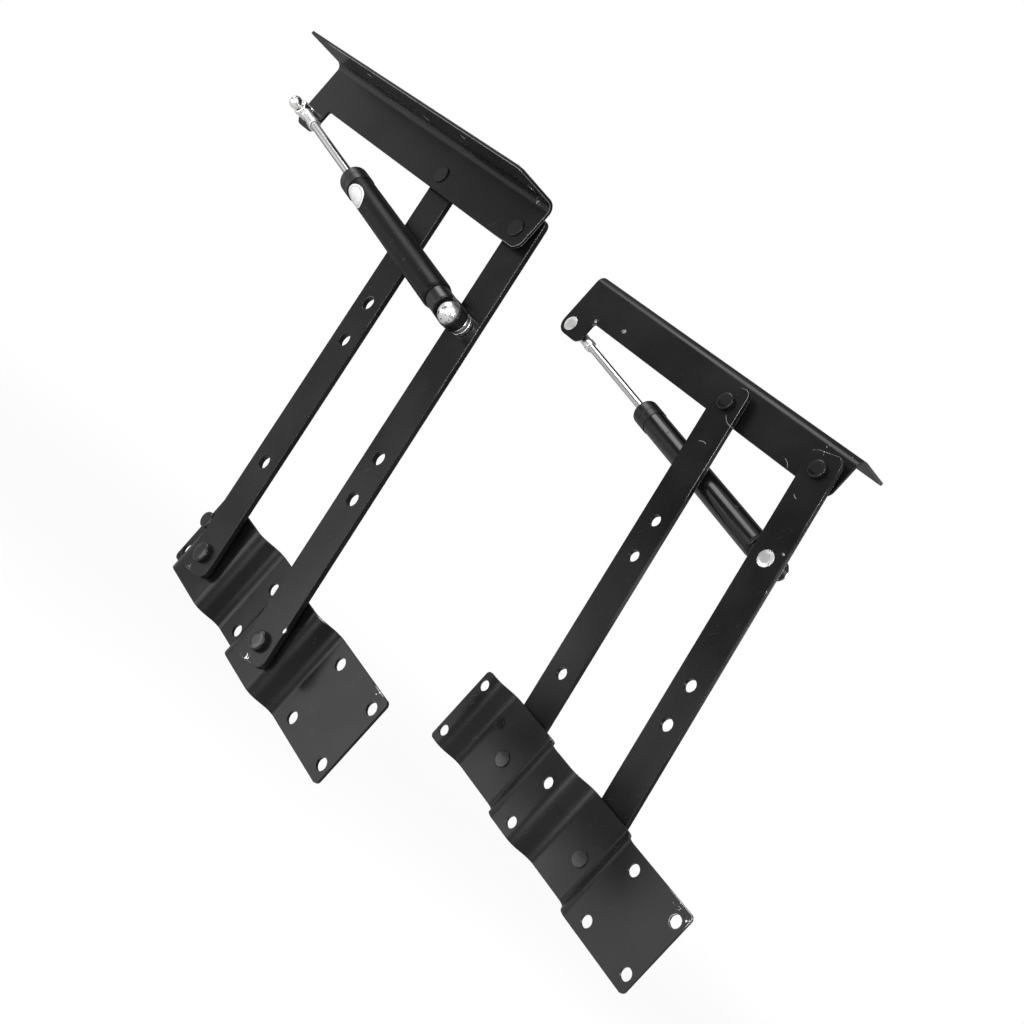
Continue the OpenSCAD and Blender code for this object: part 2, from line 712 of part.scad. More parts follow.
right_hand() tube_label();  // right_tube_label
left_hand() base_plate();  // left_base_plate
left_hand() stop_bolt();  // left_stop_bolt
left_hand() rear_base_bolt();  // left_rear_base_bolt
left_hand() front_base_bolt();  // left_front_base_bolt
left_hand() base_spacers();  // left_base_spacers
left_hand() rear_arm();  // left_rear_arm
left_hand() front_arm();  // left_front_arm
left_hand() top_bracket();  // left_top_bracket
left_hand() rear_top_bolt();  // left_rear_top_bolt
left_hand() front_top_bolt();  // left_front_top_bolt
left_hand() top_spacers();  // left_top_spacers
left_hand() lower_stud();  // left_lower_stud
left_hand() lower_socket();  // left_lower_socket
left_hand() gas_tube();  // left_gas_tube
left_hand() tube_cap();  // left_tube_cap
left_hand() rod_guide();  // left_rod_guide
left_hand() rod_seal();  // left_rod_seal
left_hand() piston();  // left_piston
left_hand() piston_ring();  // left_piston_ring
left_hand() gas_rod();  // left_gas_rod
left_hand() rod_ferrule();  // left_rod_ferrule
left_hand() rod_eye();  // left_rod_eye
left_hand() ball_pin();  // left_ball_pin
left_hand() lug_stud();  // left_lug_stud
left_hand() tube_label();  // left_tube_label
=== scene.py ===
import json
import math

import bmesh
import bpy
from mathutils import Matrix, Vector


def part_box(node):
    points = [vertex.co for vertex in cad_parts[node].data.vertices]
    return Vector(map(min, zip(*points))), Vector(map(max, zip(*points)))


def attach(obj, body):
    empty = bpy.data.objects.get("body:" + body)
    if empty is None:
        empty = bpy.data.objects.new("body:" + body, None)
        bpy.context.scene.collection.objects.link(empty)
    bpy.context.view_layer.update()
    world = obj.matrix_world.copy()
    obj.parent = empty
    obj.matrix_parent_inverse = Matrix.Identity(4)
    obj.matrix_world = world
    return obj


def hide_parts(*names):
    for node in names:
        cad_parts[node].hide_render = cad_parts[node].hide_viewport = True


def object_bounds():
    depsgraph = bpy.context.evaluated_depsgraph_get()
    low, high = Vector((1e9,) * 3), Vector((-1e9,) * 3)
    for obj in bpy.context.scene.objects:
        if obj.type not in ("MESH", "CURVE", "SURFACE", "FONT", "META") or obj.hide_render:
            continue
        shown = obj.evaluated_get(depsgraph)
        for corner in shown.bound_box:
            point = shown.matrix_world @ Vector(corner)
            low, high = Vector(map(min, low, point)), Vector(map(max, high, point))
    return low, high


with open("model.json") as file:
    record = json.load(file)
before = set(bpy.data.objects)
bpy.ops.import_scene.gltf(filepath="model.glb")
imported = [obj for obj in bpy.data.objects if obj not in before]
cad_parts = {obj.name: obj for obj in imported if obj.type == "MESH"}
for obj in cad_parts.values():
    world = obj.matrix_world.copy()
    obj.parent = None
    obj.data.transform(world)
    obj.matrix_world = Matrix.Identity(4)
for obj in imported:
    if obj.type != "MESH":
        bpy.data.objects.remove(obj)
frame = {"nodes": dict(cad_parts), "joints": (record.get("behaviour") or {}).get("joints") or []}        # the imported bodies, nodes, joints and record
CAD_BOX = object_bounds()

# Every piece of a hand is drawn in millimetres in that hand's own frame: x along the wall from
# the rear base pivot, y from the wall face inwards, z up. Its matrix then sets it in the row frame.
MM = 0.001

# Sheet and bar
PLATE_T = 2.0
RAISE = 13.2
SLOPE_RUN = 9.6
PIVOT_INSET = 27.0
REAR_RAISE_L = 48.0
FRONT_RAISE_L = 40.5
BEND_R = 11.0
PLATE_CORNER_R = 3.0
WALL_HOLE_D = 8.0
WALL_HOLE_PITCH = 41.0
MID_HOLE_PITCH = 34.0
REAR_HOLE_EDGE = 5.5
FRONT_HOLE_EDGE = 6.9
MID_HOLE_SHIFT = 4.2
ARM_W = 26.5
ARM_END = 13.5
ARM_CORNER_R = 6.0
ARM_HOLE_D = 9.0
REAR_ARM_HOLES = (95.5, 123.7, 216.7)
FRONT_ARM_HOLES = (159.3, 187.7)
RAIL_T = 2.0
RAIL_H = 35.0
RAIL_BEND_R = 6.0
RAIL_CORNER_R = 7.0
FLANGE_W = 38.0
FLANGE_CORNER_R = 4.0
LUG_L = 30.0
LUG_DROP = 20.2
LUG_REAR_R = 10.0
LUG_FRONT_R = 7.0
NOTCH_R = 2.0
SCREW_HOLE_D = 5.0
SCREW_PITCH = 67.5
SCREW_COUNT = 4
SCREW_REAR = 84.3
SCREW_ROWS = (27.5, 13.5)

# Pivots and fasteners
PIVOT_D = 8.0
HEAD_D = 13.0
HEAD_EDGE = 1.2
CROWN = 0.25
CROWN_D = 6.4
CROWN_R = 2.0
TAIL_D = 11.5
TAIL_EDGE = 0.45
FINE_R = 0.3
STOP_D = 11.0
STOP_SHANK_D = 6.0
STOP_TAIL_D = 9.0
STOP_TAIL_SINK = 0.4
SPACER_D = 13.0
STUD_TAIL_D = 12.2
STUD_TAIL_H = 0.8
STUD_TAIL_RIM = 0.45
STUD_TAIL_SLOPE = 2.6
STUD_TAIL_RADII = [0, 1.2, 0.2, 0, 0]
RUN_GAP = 0.05
SIDE_GAP = 0.1

# Gas spring
TUBE_D = 19.0
TUBE_WALL = 1.3
TUBE_START = 21.0
TUBE_END = 178.07
TUBE_TAPER_L = 3.2
TUBE_TAPER = 0.6
TUBE_LIP = 1.5
TUBE_ROLL = 2.0
TUBE_FLOOR = 3.0
TUBE_RADII = [0, 0.4, 0, 1.4, 2, 1.5, 0, 0, 0, 1, 0]
END_STUD_D = 6.0
END_STUD_L = 10.0
ROD_D = 6.0
ROD_START = 153.07
ROD_SCREW_L = 8.0
ROD_END_R = 0.4
CAP_L = 16.5
CAP_WALL = 0.5
CAP_FACE = 2.0
CAP_HOLE_GAP = 1.0
CAP_RADII = [0, 0.3, 0.3, 0.2, 0.2, 0.3, 2.4, 0.6, 0, 0]
CAP_GROOVE_AT = 0.62
CAP_GROOVE_W = 0.9
CAP_GROOVE_DEPTH = 0.25
CAP_GROOVE_SLOPE = 0.3
SOCKET_D = 16.4
SOCKET_OFF_ARM = 6.1
SOCKET_EDGE_R = 1.0
SOCKET_END_R = 0.5
SOCKET_BREAK = 0.4
SHOULDER = 8.7
COLLAR_D = 14.6
COLLAR_GROOVE = 2.8
COLLAR_GROOVE_DEPTH = 0.4
COLLAR_EDGES = (0.5, 0.8)
DOME_D = 14.8
DOME_H = 6.8
FOOT_D = 11.0
FOOT_EDGE = 0.2
FERRULE_D = 9.0
FERRULE_REACH = 29.0
FERRULE_IN = 9.0
FERRULE_WAIST = 0.5
FERRULE_HEAD = (6.0, 6.7)
FERRULE_FOOT = (3.0, 2.2)
FERRULE_EDGES = (1.0, 0.5)
EYE_D = 11.5
EYE_EDGE_R = 1.5
EYE_BREAK = 0.25
EYE_NECK_D = 6.4
BALL_D = 9.6
PIN_SINK = 0.02
LABEL_L = 24.0
LABEL_W = 14.0
LABEL_TURN = 25.0
LABEL_T = 0.15
LABEL_RIM = 0.01
LABEL_GAP = 1.5

# Mesh fineness: steps in a rounded corner, round a turned piece, round a hole, and over a dome and the film
CORNER_STEPS = 10
FITTING_CORNER_STEPS = 6
TURNED_CORNER_STEPS = 5
SMALL_CORNER_STEPS = 4
TURN_STEPS = 96
HOLE_STEPS = 56
DOME_STEPS = 20
BALL_STEPS = 24
LABEL_RINGS = 8
LABEL_SPOKES = 64
EDGE_R = 0.35
ARM_EDGE_R = 0.6
SHARP_ANGLE = math.radians(38)
FITTING_ANGLE = math.radians(40)
FITTING_SEGMENTS = 2

# Cutters reach ROOM, OVER or more past what they cut, and SPARE is stock that a cutter takes off
OVER = 5.0
ROOM = 3.0
SPARE = 2.0
WALL_DRILL = (-3.0, 6.0)
EDGE_OVERLAP = 0.5


# Outlines

def rounded(points, radii, steps=CORNER_STEPS):
    """The closed outline with each corner rounded to its own radius."""
    outline = []
    count = len(points)
    for i, radius in enumerate(radii):
        before, corner, after = (Vector(points[(i + k) % count]) for k in (-1, 0, 1))
        if radius == 0:
            outline.append(corner)
            continue
        back, on = (before - corner).normalized(), (after - corner).normalized()
        half = back.angle(on) / 2
        centre = corner + (back + on).normalized() * radius / math.sin(half)
        first = corner + back * radius / math.tan(half) - centre
        last = corner + on * radius / math.tan(half) - centre
        turn = math.remainder(math.atan2(last.y, last.x) - math.atan2(first.y, first.x), math.tau)
        start = math.atan2(first.y, first.x)
        for k in range(steps + 1):
            angle = start + turn * k / steps
            outline.append(centre + radius * Vector((math.cos(angle), math.sin(angle))))
    return outline


def sheet_side(line, radii, side):
    """One face of a bent sheet, as its middle line moved sideways and bent to the radii."""
    def across(a, b):
        way = (b - a).normalized()
        return Vector((-way.y, way.x)) * side

    points = [Vector(p) for p in line]
    face = [points[0] + across(points[0], points[1])]
    for i, radius in enumerate(radii, 1):
        way_in = (points[i] - points[i - 1]).normalized()
        way_out = (points[i + 1] - points[i]).normalized()
        turn = way_in.angle_signed(way_out) * -1
        half = abs(turn) / 2
        centre = points[i] + (way_out - way_in).normalized() * radius / math.cos(half)
        first = points[i] - way_in * radius * math.tan(half) - centre
        start = math.atan2(first.y, first.x)
        reach = radius - math.copysign(side, turn * side)
        for k in range(CORNER_STEPS + 1):
            angle = start + turn * k / CORNER_STEPS
            face.append(centre + reach * Vector((math.cos(angle), math.sin(angle))))
    face.append(points[-1] + across(points[-2], points[-1]))
    return face


def sheet_section(line, radii, thickness):
    """Cross-section of a bent sheet, round its middle line."""
    return sheet_side(line, radii, thickness / 2) + sheet_side(line, radii, -thickness / 2)[::-1]


# Meshes

def mesh_of(build, name):
    """A mesh filled by build(bm), with its faces turned outwards."""
    bm = bmesh.new()
    build(bm)
    bmesh.ops.remove_doubles(bm, verts=bm.verts, dist=1e-5)
    bmesh.ops.recalc_face_normals(bm, faces=bm.faces)
    mesh = bpy.data.meshes.new(name)
    bm.to_mesh(mesh)
    bm.free()
    return mesh


def extruded(name, outline, to_space, depth):
    """A prism: to_space maps a point of the outline and a depth to a place."""
    def build(bm):
        rings = [[bm.verts.new(to_space(p, d)) for p in outline] for d in depth]
        bm.faces.new(rings[0])
        bm.faces.new(rings[1])
        for k in range(len(outline)):
            n = (k + 1) % len(outline)
            bm.faces.new((rings[0][k], rings[0][n], rings[1][n], rings[1][k]))
    return mesh_of(build, name)


def upright(p, depth):
    """A point (x, z) of an outline that lies flat against the wall, at layer y = depth."""
    return (p[0], depth, p[1])


def level(p, depth):
    """A point (x, y) of an outline that lies level, at height depth."""
    return (p[0], p[1], depth)


def endwise(p, depth):
    """A point (y, z) of an outline across the wall, at station x = depth."""
    return (depth, p[0], p[1])


def turned(name, profile, space, steps=TURN_STEPS):
    """A turned piece: the profile is (radius, distance along the axis), and space sets the axis."""
    def build(bm):
        rings = []
        for radius, along in profile:
            if radius < 1e-6:
                rings.append([bm.verts.new(space @ Vector((0, 0, along)))])
                continue
            rings.append([bm.verts.new(space @ Vector((radius * math.cos(a), radius * math.sin(a), along)))
                          for a in (math.tau * k / steps for k in range(steps))])
        closed = profile[0][0] > 1e-6
        pairs = zip(rings, rings[1:] + rings[:1]) if closed else zip(rings, rings[1:])
        for one, two in pairs:
            for k in range(steps):
                n = (k + 1) % steps
                corners = [one[k % len(one)], one[n % len(one)], two[n % len(two)], two[k % len(two)]]
                face = list(dict.fromkeys(corners))
                if len(face) > 2:
                    bm.faces.new(face)
    return mesh_of(build, name)


def across_at(x, z):
    """Frame of a piece turned about an axis across the wall, through (x, z)."""
    return Matrix(((1, 0, 0, x), (0, 0, 1, 0), (0, -1, 0, z), (0, 0, 0, 1)))


def hole_cutter(x, z, diameter, low, high):
    """Cylinder that drills across the wall from layer low to layer high."""
    r = diameter / 2
    return turned("cutter", [(0, low), (r, low), (r, high), (0, high)], across_at(x, z), HOLE_STEPS)


def linked(name, data):
    """A new object in the scene."""
    obj = bpy.data.objects.new(name, data)
    bpy.context.scene.collection.objects.link(obj)
    return obj


def worked(body):
    """The mesh that an object's modifiers make of its own, which is deleted with the object."""
    mesh = body.data
    result = bpy.data.meshes.new_from_object(body.evaluated_get(bpy.context.evaluated_depsgraph_get()))
    bpy.data.objects.remove(body)
    bpy.data.meshes.remove(mesh)
    return result


def boolean(mesh, cutter, operation):
    """The mesh joined with, cut by or kept within another."""
    body, tool = linked("working_body", mesh), linked("working_tool", cutter)
    step = body.modifiers.new("step", "BOOLEAN")
    step.operation = operation
    step.solver = "EXACT"
    step.object = tool
    result = worked(body)
    bpy.data.objects.remove(tool)
    bpy.data.meshes.remove(cutter)
    return result


def drilled(mesh, cutters):
    for cutter in cutters:
        mesh = boolean(mesh, cutter, "DIFFERENCE")
    return mesh


def broken_edges(mesh, radius=EDGE_R, angle=SHARP_ANGLE, segments=3):
    """The mesh with its sharp edges rounded, by far less than radius where the cuts left short edges."""
    body = linked("working_body", mesh)
    bevel = body.modifiers.new("edges", "BEVEL")
    bevel.width = radius
    bevel.segments = segments
    bevel.limit_method = "ANGLE"
    bevel.angle_limit = angle
    bevel.use_clamp_overlap = True
    bevel.miter_outer = "MITER_ARC"
    return worked(body)


def shade_smooth(mesh):
    """Smooth shading that keeps edges past the sharp angle."""
    mesh.polygons.foreach_set("use_smooth", [True] * len(mesh.polygons))
    mesh.set_sharp_from_angle(angle=SHARP_ANGLE)


# The two hands

def joint_at(name):
    """Where a joint's axis lies in the row frame."""
    return Vector(next(j["pos_m"] for j in frame["joints"] if j["name"] == name))


class Hand:
    """One fitting of the pair: where its wall face and pivots are, and how its pieces are placed."""

    def __init__(self, name):
        low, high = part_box(name + "_base_plate")
        rear = joint_at(name + "_rear_arm_swing")
        self.name = name
        self.inward = 1 if name == "right" else -1
        wall = low.y if self.inward > 0 else high.y
        scale = Matrix.Diagonal((MM, self.inward * MM, MM, 1))
        self.matrix = Matrix.Translation((rear.x, wall, rear.z)) @ scale
        to_hand = self.matrix.inverted()

        def pivot(point):
            p = to_hand @ point
            return Vector((p.x, p.z))

        self.rear_base = pivot(rear)
        self.front_base = pivot(joint_at(name + "_lift"))
        self.front_top = pivot(joint_at(name + "_top_level"))
        self.rear_top = self.front_top - self.front_base
        self.stud = pivot(joint_at(name + "_gas_swing"))
        self.arm_way = self.rear_top.normalized()
        self.arm_len = self.rear_top.length
        self.eye = Vector(self.middle("lug_stud"))
        plate = [to_hand @ p for p in (low, high)]
        self.plate_x = (plate[0].x, plate[1].x)
        self.plate_z = (plate[0].z, plate[1].z)
        self.arm_face, self.arm_back = self.layers("rear_arm")
        rail = [to_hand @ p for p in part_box(name + "_top_bracket")]
        self.rail_x = (rail[0].x, rail[1].x)
        self.rail_top = rail[1].z
        self.rail_face = self.layers("top_bracket")[0]
        self.rail_back = self.rail_face + RAIL_T
        self.gas_y = (to_hand @ joint_at(name + "_gas_swing")).y
        self.socket_layers = (self.arm_back + SOCKET_OFF_ARM,
                              self.layers("lower_stud")[1] - DOME_H - SIDE_GAP)
        self.gas_len = (self.eye - self.stud).length
        way = (self.eye - self.stud).normalized()
        self.gas = Matrix(((way.y, 0, way.x, self.stud.x), (0, 1, 0, self.gas_y),
                           (-way.x, 0, way.y, self.stud.y), (0, 0, 0, 1)))

    def node(self, piece):
        return f"{self.name}_{piece}"

    def layers(self, piece):
        """The lowest and the highest layer of a CAD piece, counted from the wall face."""
        return sorted((self.matrix.inverted() @ p).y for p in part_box(self.node(piece)))

    def middle(self, piece):
        """The middle of a CAD piece as (x, z)."""
        low, high = (self.matrix.inverted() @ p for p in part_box(self.node(piece)))
        return ((low.x + high.x) / 2, (low.z + high.z) / 2)

    def place(self, piece, mesh, body, material, slot):
        """Sets a finished mesh in the row frame as the piece that stands for its CAD node."""
        shade_smooth(mesh)
        mesh.transform(self.matrix)
        if self.inward < 0:
            mesh.flip_normals()
        mesh.name = self.node(piece) + "_form"
        mesh.materials.clear()
        mesh.materials.append(material)
        obj = linked(self.node(piece) + "_form", mesh)
        flat = obj.modifiers.new("flat_faces", "WEIGHTED_NORMAL")
        flat.keep_sharp = True
        rides_on = body if body == "base_plates" else f"{self.name}_{body}"
        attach(obj, rides_on)
        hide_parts(self.node(piece))
        return obj


# Shader nodes in short

def feed(tree, value, socket):
    """Links a socket's value, or sets a plain number or vector."""
    if isinstance(value, bpy.types.NodeSocket):
        tree.links.new(value, socket)
    else:
        socket.default_value = value


def math_node(tree, operation, *values):
    node = tree.nodes.new("ShaderNodeMath")
    node.operation = operation
    for k, value in enumerate(values):
        feed(tree, value, node.inputs[k])
    return node.outputs[0]


def times(tree, one, two):
    return math_node(tree, "MULTIPLY", one, two)


def plus(tree, one, two):
    return math_node(tree, "ADD", one, two)


def minus(tree, one, two):
    return math_node(tree, "SUBTRACT", one, two)


def larger(tree, one, two):
    return math_node(tree, "MAXIMUM", one, two)


def vector_value(tree, operation, *vectors):
    """A number from vectors: a distance, a length or a dot product."""
    node = tree.nodes.new("ShaderNodeVectorMath")
    node.operation = operation
    for k, vector in enumerate(vectors):
        feed(tree, vector, node.inputs[k])
    return node.outputs["Value"]


def ramp(tree, value, low, high):
    """0 below low, 1 above high, smooth between."""
    node = tree.nodes.new("ShaderNodeMapRange")
    node.interpolation_type = "SMOOTHSTEP"
    feed(tree, value, node.inputs["Value"])
    feed(tree, low, node.inputs["From Min"])
    feed(tree, high, node.inputs["From Max"])
    return node.outputs["Result"]


def fall(tree, value, low, high):
    """1 below low, 0 above high, smooth between."""
    return minus(tree, 1.0, ramp(tree, value, low, high))


def noise(tree, vector, scale, detail, roughness):
    node = tree.nodes.new("ShaderNodeTexNoise")
    tree.links.new(vector, node.inputs["Vector"])
    feed(tree, scale, node.inputs["Scale"])
    node.inputs["Detail"].default_value = detail
    node.inputs["Roughness"].default_value = roughness
    return node.outputs["Fac"]


def object_place(tree):
    return tree.nodes.new("ShaderNodeTexCoord").outputs["Object"]


# Shader groups

NOWHERE = (0.0, 0.0, 0.0)

# An edge is where the normal turns this much; paint goes where the summed noise passes a start less a gain
EDGE_TURN = (0.004, 0.05)
PATCH_SCALE = 26.0
PATCH_SHARE = 0.55
WEAR_START = 1.28
WEAR_GAIN = 0.5
WEAR_BLUR = 0.05
CHIP_SPAN = (0.86, 0.92)
CHIP_RIM = 0.15
NEAR_RIM = 0.5
SCRATCH_CORE = 0.4
SCRATCH_BODY = 0.7
NIB_SPAN = (0.7, 0.82)
GLOSS_SCALE = 21.0
SCRATCH_SLANTS = ((0.5, 0.9, 0.3), (-0.7, 0.2, 1.1))
SCRATCH_START = 0.80
SCRATCH_GAIN = 0.12
SCRATCH_BLUR = 0.015


def new_group(name, inputs, outputs):
    """An empty group: its tree, the sockets of its inputs and its end node."""
    group = bpy.data.node_groups.new(name, "ShaderNodeTree")
    for label, default in inputs.items():
        kind = "NodeSocketVector" if isinstance(default, tuple) else "NodeSocketFloat"
        socket = group.interface.new_socket(label, in_out="INPUT", socket_type=kind)
        socket.default_value = default
    for label in outputs:
        group.interface.new_socket(label, in_out="OUTPUT", socket_type="NodeSocketFloat")
    start = group.nodes.new("NodeGroupInput")
    end = group.nodes.new("NodeGroupOutput")
    return group, start.outputs, end


def put_out(group, end, **values):
    """Links each value to the group's output of that name."""
    for label, value in values.items():
        group.links.new(value, end.inputs[label])


def make_edge_wear_group():
    """Masks of edges, where the surface turns within a radius, and of their bare spots, broken by noise."""
    group, given, end = new_group("edge_wear", {"Radius": 0.0006, "Amount": 0.5, "Scale": 900.0},
                                  ["Mask", "Edge"])
    bevel = group.nodes.new("ShaderNodeBevel")
    bevel.samples = 6
    group.links.new(given["Radius"], bevel.inputs["Radius"])
    normal = group.nodes.new("ShaderNodeNewGeometry").outputs["Normal"]
    turn = minus(group, 1.0, vector_value(group, "DOT_PRODUCT", bevel.outputs["Normal"], normal))
    edge = ramp(group, turn, *EDGE_TURN)
    place = object_place(group)
    grains = noise(group, place, given["Scale"], 4.0, 0.7)
    patches = noise(group, place, PATCH_SCALE, 2.0, 0.5)
    reach = plus(group, grains, times(group, patches, PATCH_SHARE))
    least = minus(group, WEAR_START, times(group, given["Amount"], WEAR_GAIN))
    rubbed = ramp(group, reach, least, plus(group, least, WEAR_BLUR))
    put_out(group, end, Mask=times(group, edge, rubbed), Edge=edge)
    return group


def make_chip_group():
    """Masks of the chips within a radius of one place, and of the whole place."""
    group, given, end = new_group("chip_patch",
                                  {"Centre": NOWHERE, "Radius": 0.01, "Scale": 700.0, "Amount": 0.5},
                                  ["Mask", "Near"])
    place = object_place(group)
    far = vector_value(group, "DISTANCE", place, given["Centre"])
    inside = larger(group, minus(group, 1.0, math_node(group, "DIVIDE", far, given["Radius"])), 0.0)
    grains = noise(group, place, given["Scale"], 3.0, 0.6)
    spots = ramp(group, plus(group, grains, times(group, inside, given["Amount"])), *CHIP_SPAN)
    put_out(group, end, Mask=times(group, spots, ramp(group, inside, 0.0, CHIP_RIM)),
            Near=ramp(group, inside, 0.0, NEAR_RIM))
    return group


def make_arc_scratch_group():
    """Mask of one curved scratch: part of a ring, kept within reach of its middle."""
    group, given, end = new_group("arc_scratch",
                                  {"Centre": NOWHERE, "Radius": 0.01, "Width": 0.0003,
                                   "Middle": NOWHERE, "Reach": 0.005}, ["Mask"])
    place = object_place(group)
    out, away = (vector_value(group, "DISTANCE", place, given[point]) for point in ("Centre", "Middle"))
    off = math_node(group, "ABSOLUTE", minus(group, out, given["Radius"]))
    line = fall(group, math_node(group, "DIVIDE", off, given["Width"]), SCRATCH_CORE, 1.0)
    kept = fall(group, math_node(group, "DIVIDE", away, given["Reach"]), SCRATCH_BODY, 1.0)
    put_out(group, end, Mask=times(group, line, kept))
    return group


def make_paint_grain_group():
    """The skin of sprayed paint: a fine orange peel, its height, and broad uneven gloss."""
    group, given, end = new_group("paint_grain", {"Peel Scale": 300.0, "Dust Scale": 900.0, "Dust": 0.0},
                                  ["Height", "Gloss"])
    place = object_place(group)
    peel = noise(group, place, given["Peel Scale"], 2.0, 0.45)
    nibs = ramp(group, noise(group, place, given["Dust Scale"], 2.0, 0.5), *NIB_SPAN)
    put_out(group, end, Height=plus(group, peel, times(group, nibs, given["Dust"])),
            Gloss=noise(group, place, GLOSS_SCALE, 3.0, 0.5))
    return group


def make_scratch_group():
    """Fine scratches: noise drawn out along two slanting directions."""
    group, given, end = new_group("scratches", {"Scale": 60.0, "Length": 22.0, "Amount": 0.5}, ["Mask"])
    place = object_place(group)
    masks = []
    for slant in SCRATCH_SLANTS:
        mapping = group.nodes.new("ShaderNodeMapping")
        mapping.inputs["Rotation"].default_value = slant
        group.links.new(place, mapping.inputs["Vector"])
        split = group.nodes.new("ShaderNodeSeparateXYZ")
        group.links.new(mapping.outputs["Vector"], split.inputs[0])
        join = group.nodes.new("ShaderNodeCombineXYZ")
        group.links.new(split.outputs["X"], join.inputs["X"])
        for axis in ("Y", "Z"):
            group.links.new(times(group, split.outputs[axis], given["Length"]), join.inputs[axis])
        value = noise(group, join.outputs[0], given["Scale"], 2.0, 0.4)
        least = minus(group, SCRATCH_START, times(group, given["Amount"], SCRATCH_GAIN))
        masks.append(ramp(group, value, least, plus(group, least, SCRATCH_BLUR)))
    put_out(group, end, Mask=larger(group, *masks))
    return group


GROUPS = {"edge_wear": make_edge_wear_group(), "chip_patch": make_chip_group(),
          "arc_scratch": make_arc_scratch_group(), "paint_grain": make_paint_grain_group(),
          "scratches": make_scratch_group()}


# Materials

def grey(level, blue=None):
    """A neutral colour, or a slightly cool one with its own blue."""
    return (level, level, level if blue is None else blue, 1)


BARE_STEEL = grey(0.75, 0.74)
PAINT_TONES = (grey(0.006, 0.0062), grey(0.010))
# Painted light: the right base plate's black is lighter than the same paint on the left plate, standing in
# for the lamp reflection that the left plate blocks from it
PLATE_PAINTED_LIGHT_TONES = {"right": (grey(0.014, 0.0142), grey(0.018)), "left": PAINT_TONES}
MOULDED_TONES = (grey(0.005, 0.0055), grey(0.009, 0.0095))
ENAMEL_TONES = (grey(0.005, 0.0052), grey(0.03))
ZINC_TONES = (grey(0.9, 0.89), grey(0.74))
ZINC_MARK = grey(0.14)
FILM_TONES = (grey(0.9), grey(0.82))
FILM_BORDER = grey(0.3)
CHROME_TONES = (grey(0.7, 0.71), grey(0.6, 0.61))
BRASS_TONES = ((0.62, 0.45, 0.2, 1), (0.5, 0.36, 0.16, 1))
STEEL_TONES = (grey(0.5), grey(0.4, 0.41))
RUBBER_TONES = (grey(0.02), grey(0.03))
RUBBED = grey(0.05)
RUB_SHARE = 0.2
# Share of bare steel on edges near chip places: rubbed paint, and painted highlight at the wide places
EDGE_RUB_AND_HIGHLIGHT_SHARE = 0.85
ARC_SHARE = 0.45
RUB_ROUGHNESS = 0.36
BARE_ROUGHNESS = 0.34
ENAMEL_RUB_ROUGHNESS = 0.45
ZINC_MARK_ROUGHNESS = 0.5
ZINC_ROUGHNESS = (0.26, 0.36)
FILM_ROUGHNESS = (0.3, 0.45)
CHIP_DEPTH = 2.0
ZINC_MARK_DEPTH = 0.6
EVEN_GLOSS = (0.3, 0.7)
BORDER_IN = (0.74, 0.77)
BORDER_OUT = (0.82, 0.85)
BORDER_SHARE = 0.7

# Height in metres of each surface's relief
PAINT_RELIEF = 0.000012
ENAMEL_RELIEF = 0.00001
ZINC_RELIEF = 0.00003
FILM_RELIEF = 0.000006
MOULDED_RELIEF = 0.000006
TURNED_RELIEF = 0.00002


class Finish:
    """A material under construction: its tree, its shader and short ways to feed them."""

    def __init__(self, name, **constants):
        self.material = bpy.data.materials.new(name)
        self.material.use_nodes = True
        self.tree = self.material.node_tree
        self.shader = self.tree.nodes["Principled BSDF"]
        for socket, value in constants.items():
            self.shader.inputs[socket.replace("_", " ")].default_value = value

    def group(self, name, **values):
        node = self.tree.nodes.new("ShaderNodeGroup")
        node.node_tree = GROUPS[name]
        for socket, value in values.items():
            node.inputs[socket.replace("_", " ")].default_value = value
        return node.outputs

    def link(self, value, socket):
        self.tree.links.new(value, self.shader.inputs[socket])

    def gloss(self, grain, span=EVEN_GLOSS):
        """How glossy the surface is from place to place."""
        return ramp(self.tree, grain["Gloss"], *span)

    def mix_colour(self, share, one, two):
        node = self.tree.nodes.new("ShaderNodeMix")
        node.data_type = "RGBA"
        feed(self.tree, share, node.inputs["Factor"])
        for value, label in ((one, "A"), (two, "B")):
            socket = [s for s in node.inputs if s.name == label and s.type == "RGBA"][0]
            feed(self.tree, value, socket)
        return [s for s in node.outputs if s.type == "RGBA"][0]

    def mix(self, share, one, two):
        node = self.tree.nodes.new("ShaderNodeMix")
        for value, label in ((share, 0), (one, 2), (two, 3)):
            feed(self.tree, value, node.inputs[label])
        return node.outputs[0]

    def bump(self, height, distance):
        node = self.tree.nodes.new("ShaderNodeBump")
        node.inputs["Distance"].default_value = distance
        self.tree.links.new(height, node.inputs["Height"])
        self.link(node.outputs["Normal"], "Normal")


def bared(f, wear, chips, arcs):
    """Mask of bare steel: worn edges, the chips and curved scratches at the given places, and the edges near
    those places, which are rubbed paint round real chips and painted highlight at the wide places with thin
    chips.
    """
    tree = f.tree
    worn = f.group("edge_wear", Amount=wear)
    mask = worn["Mask"]
    for centre, radius, amount in chips:
        patch = f.group("chip_patch", Centre=tuple(centre), Radius=radius, Amount=amount)
        # Edges near each place are bared: rubbed paint round the chips, and painted highlight where the chips
        # are thin
        rubbed_and_highlight_edge = times(tree, times(tree, patch["Near"], worn["Edge"]), EDGE_RUB_AND_HIGHLIGHT_SHARE)
        mask = larger(tree, larger(tree, mask, patch["Mask"]), rubbed_and_highlight_edge)
    for centre, radius, middle, reach in arcs:
        arc = f.group("arc_scratch", Centre=tuple(centre), Radius=radius, Middle=tuple(middle), Reach=reach)
        mask = larger(tree, mask, times(tree, arc["Mask"], ARC_SHARE))
    return mask


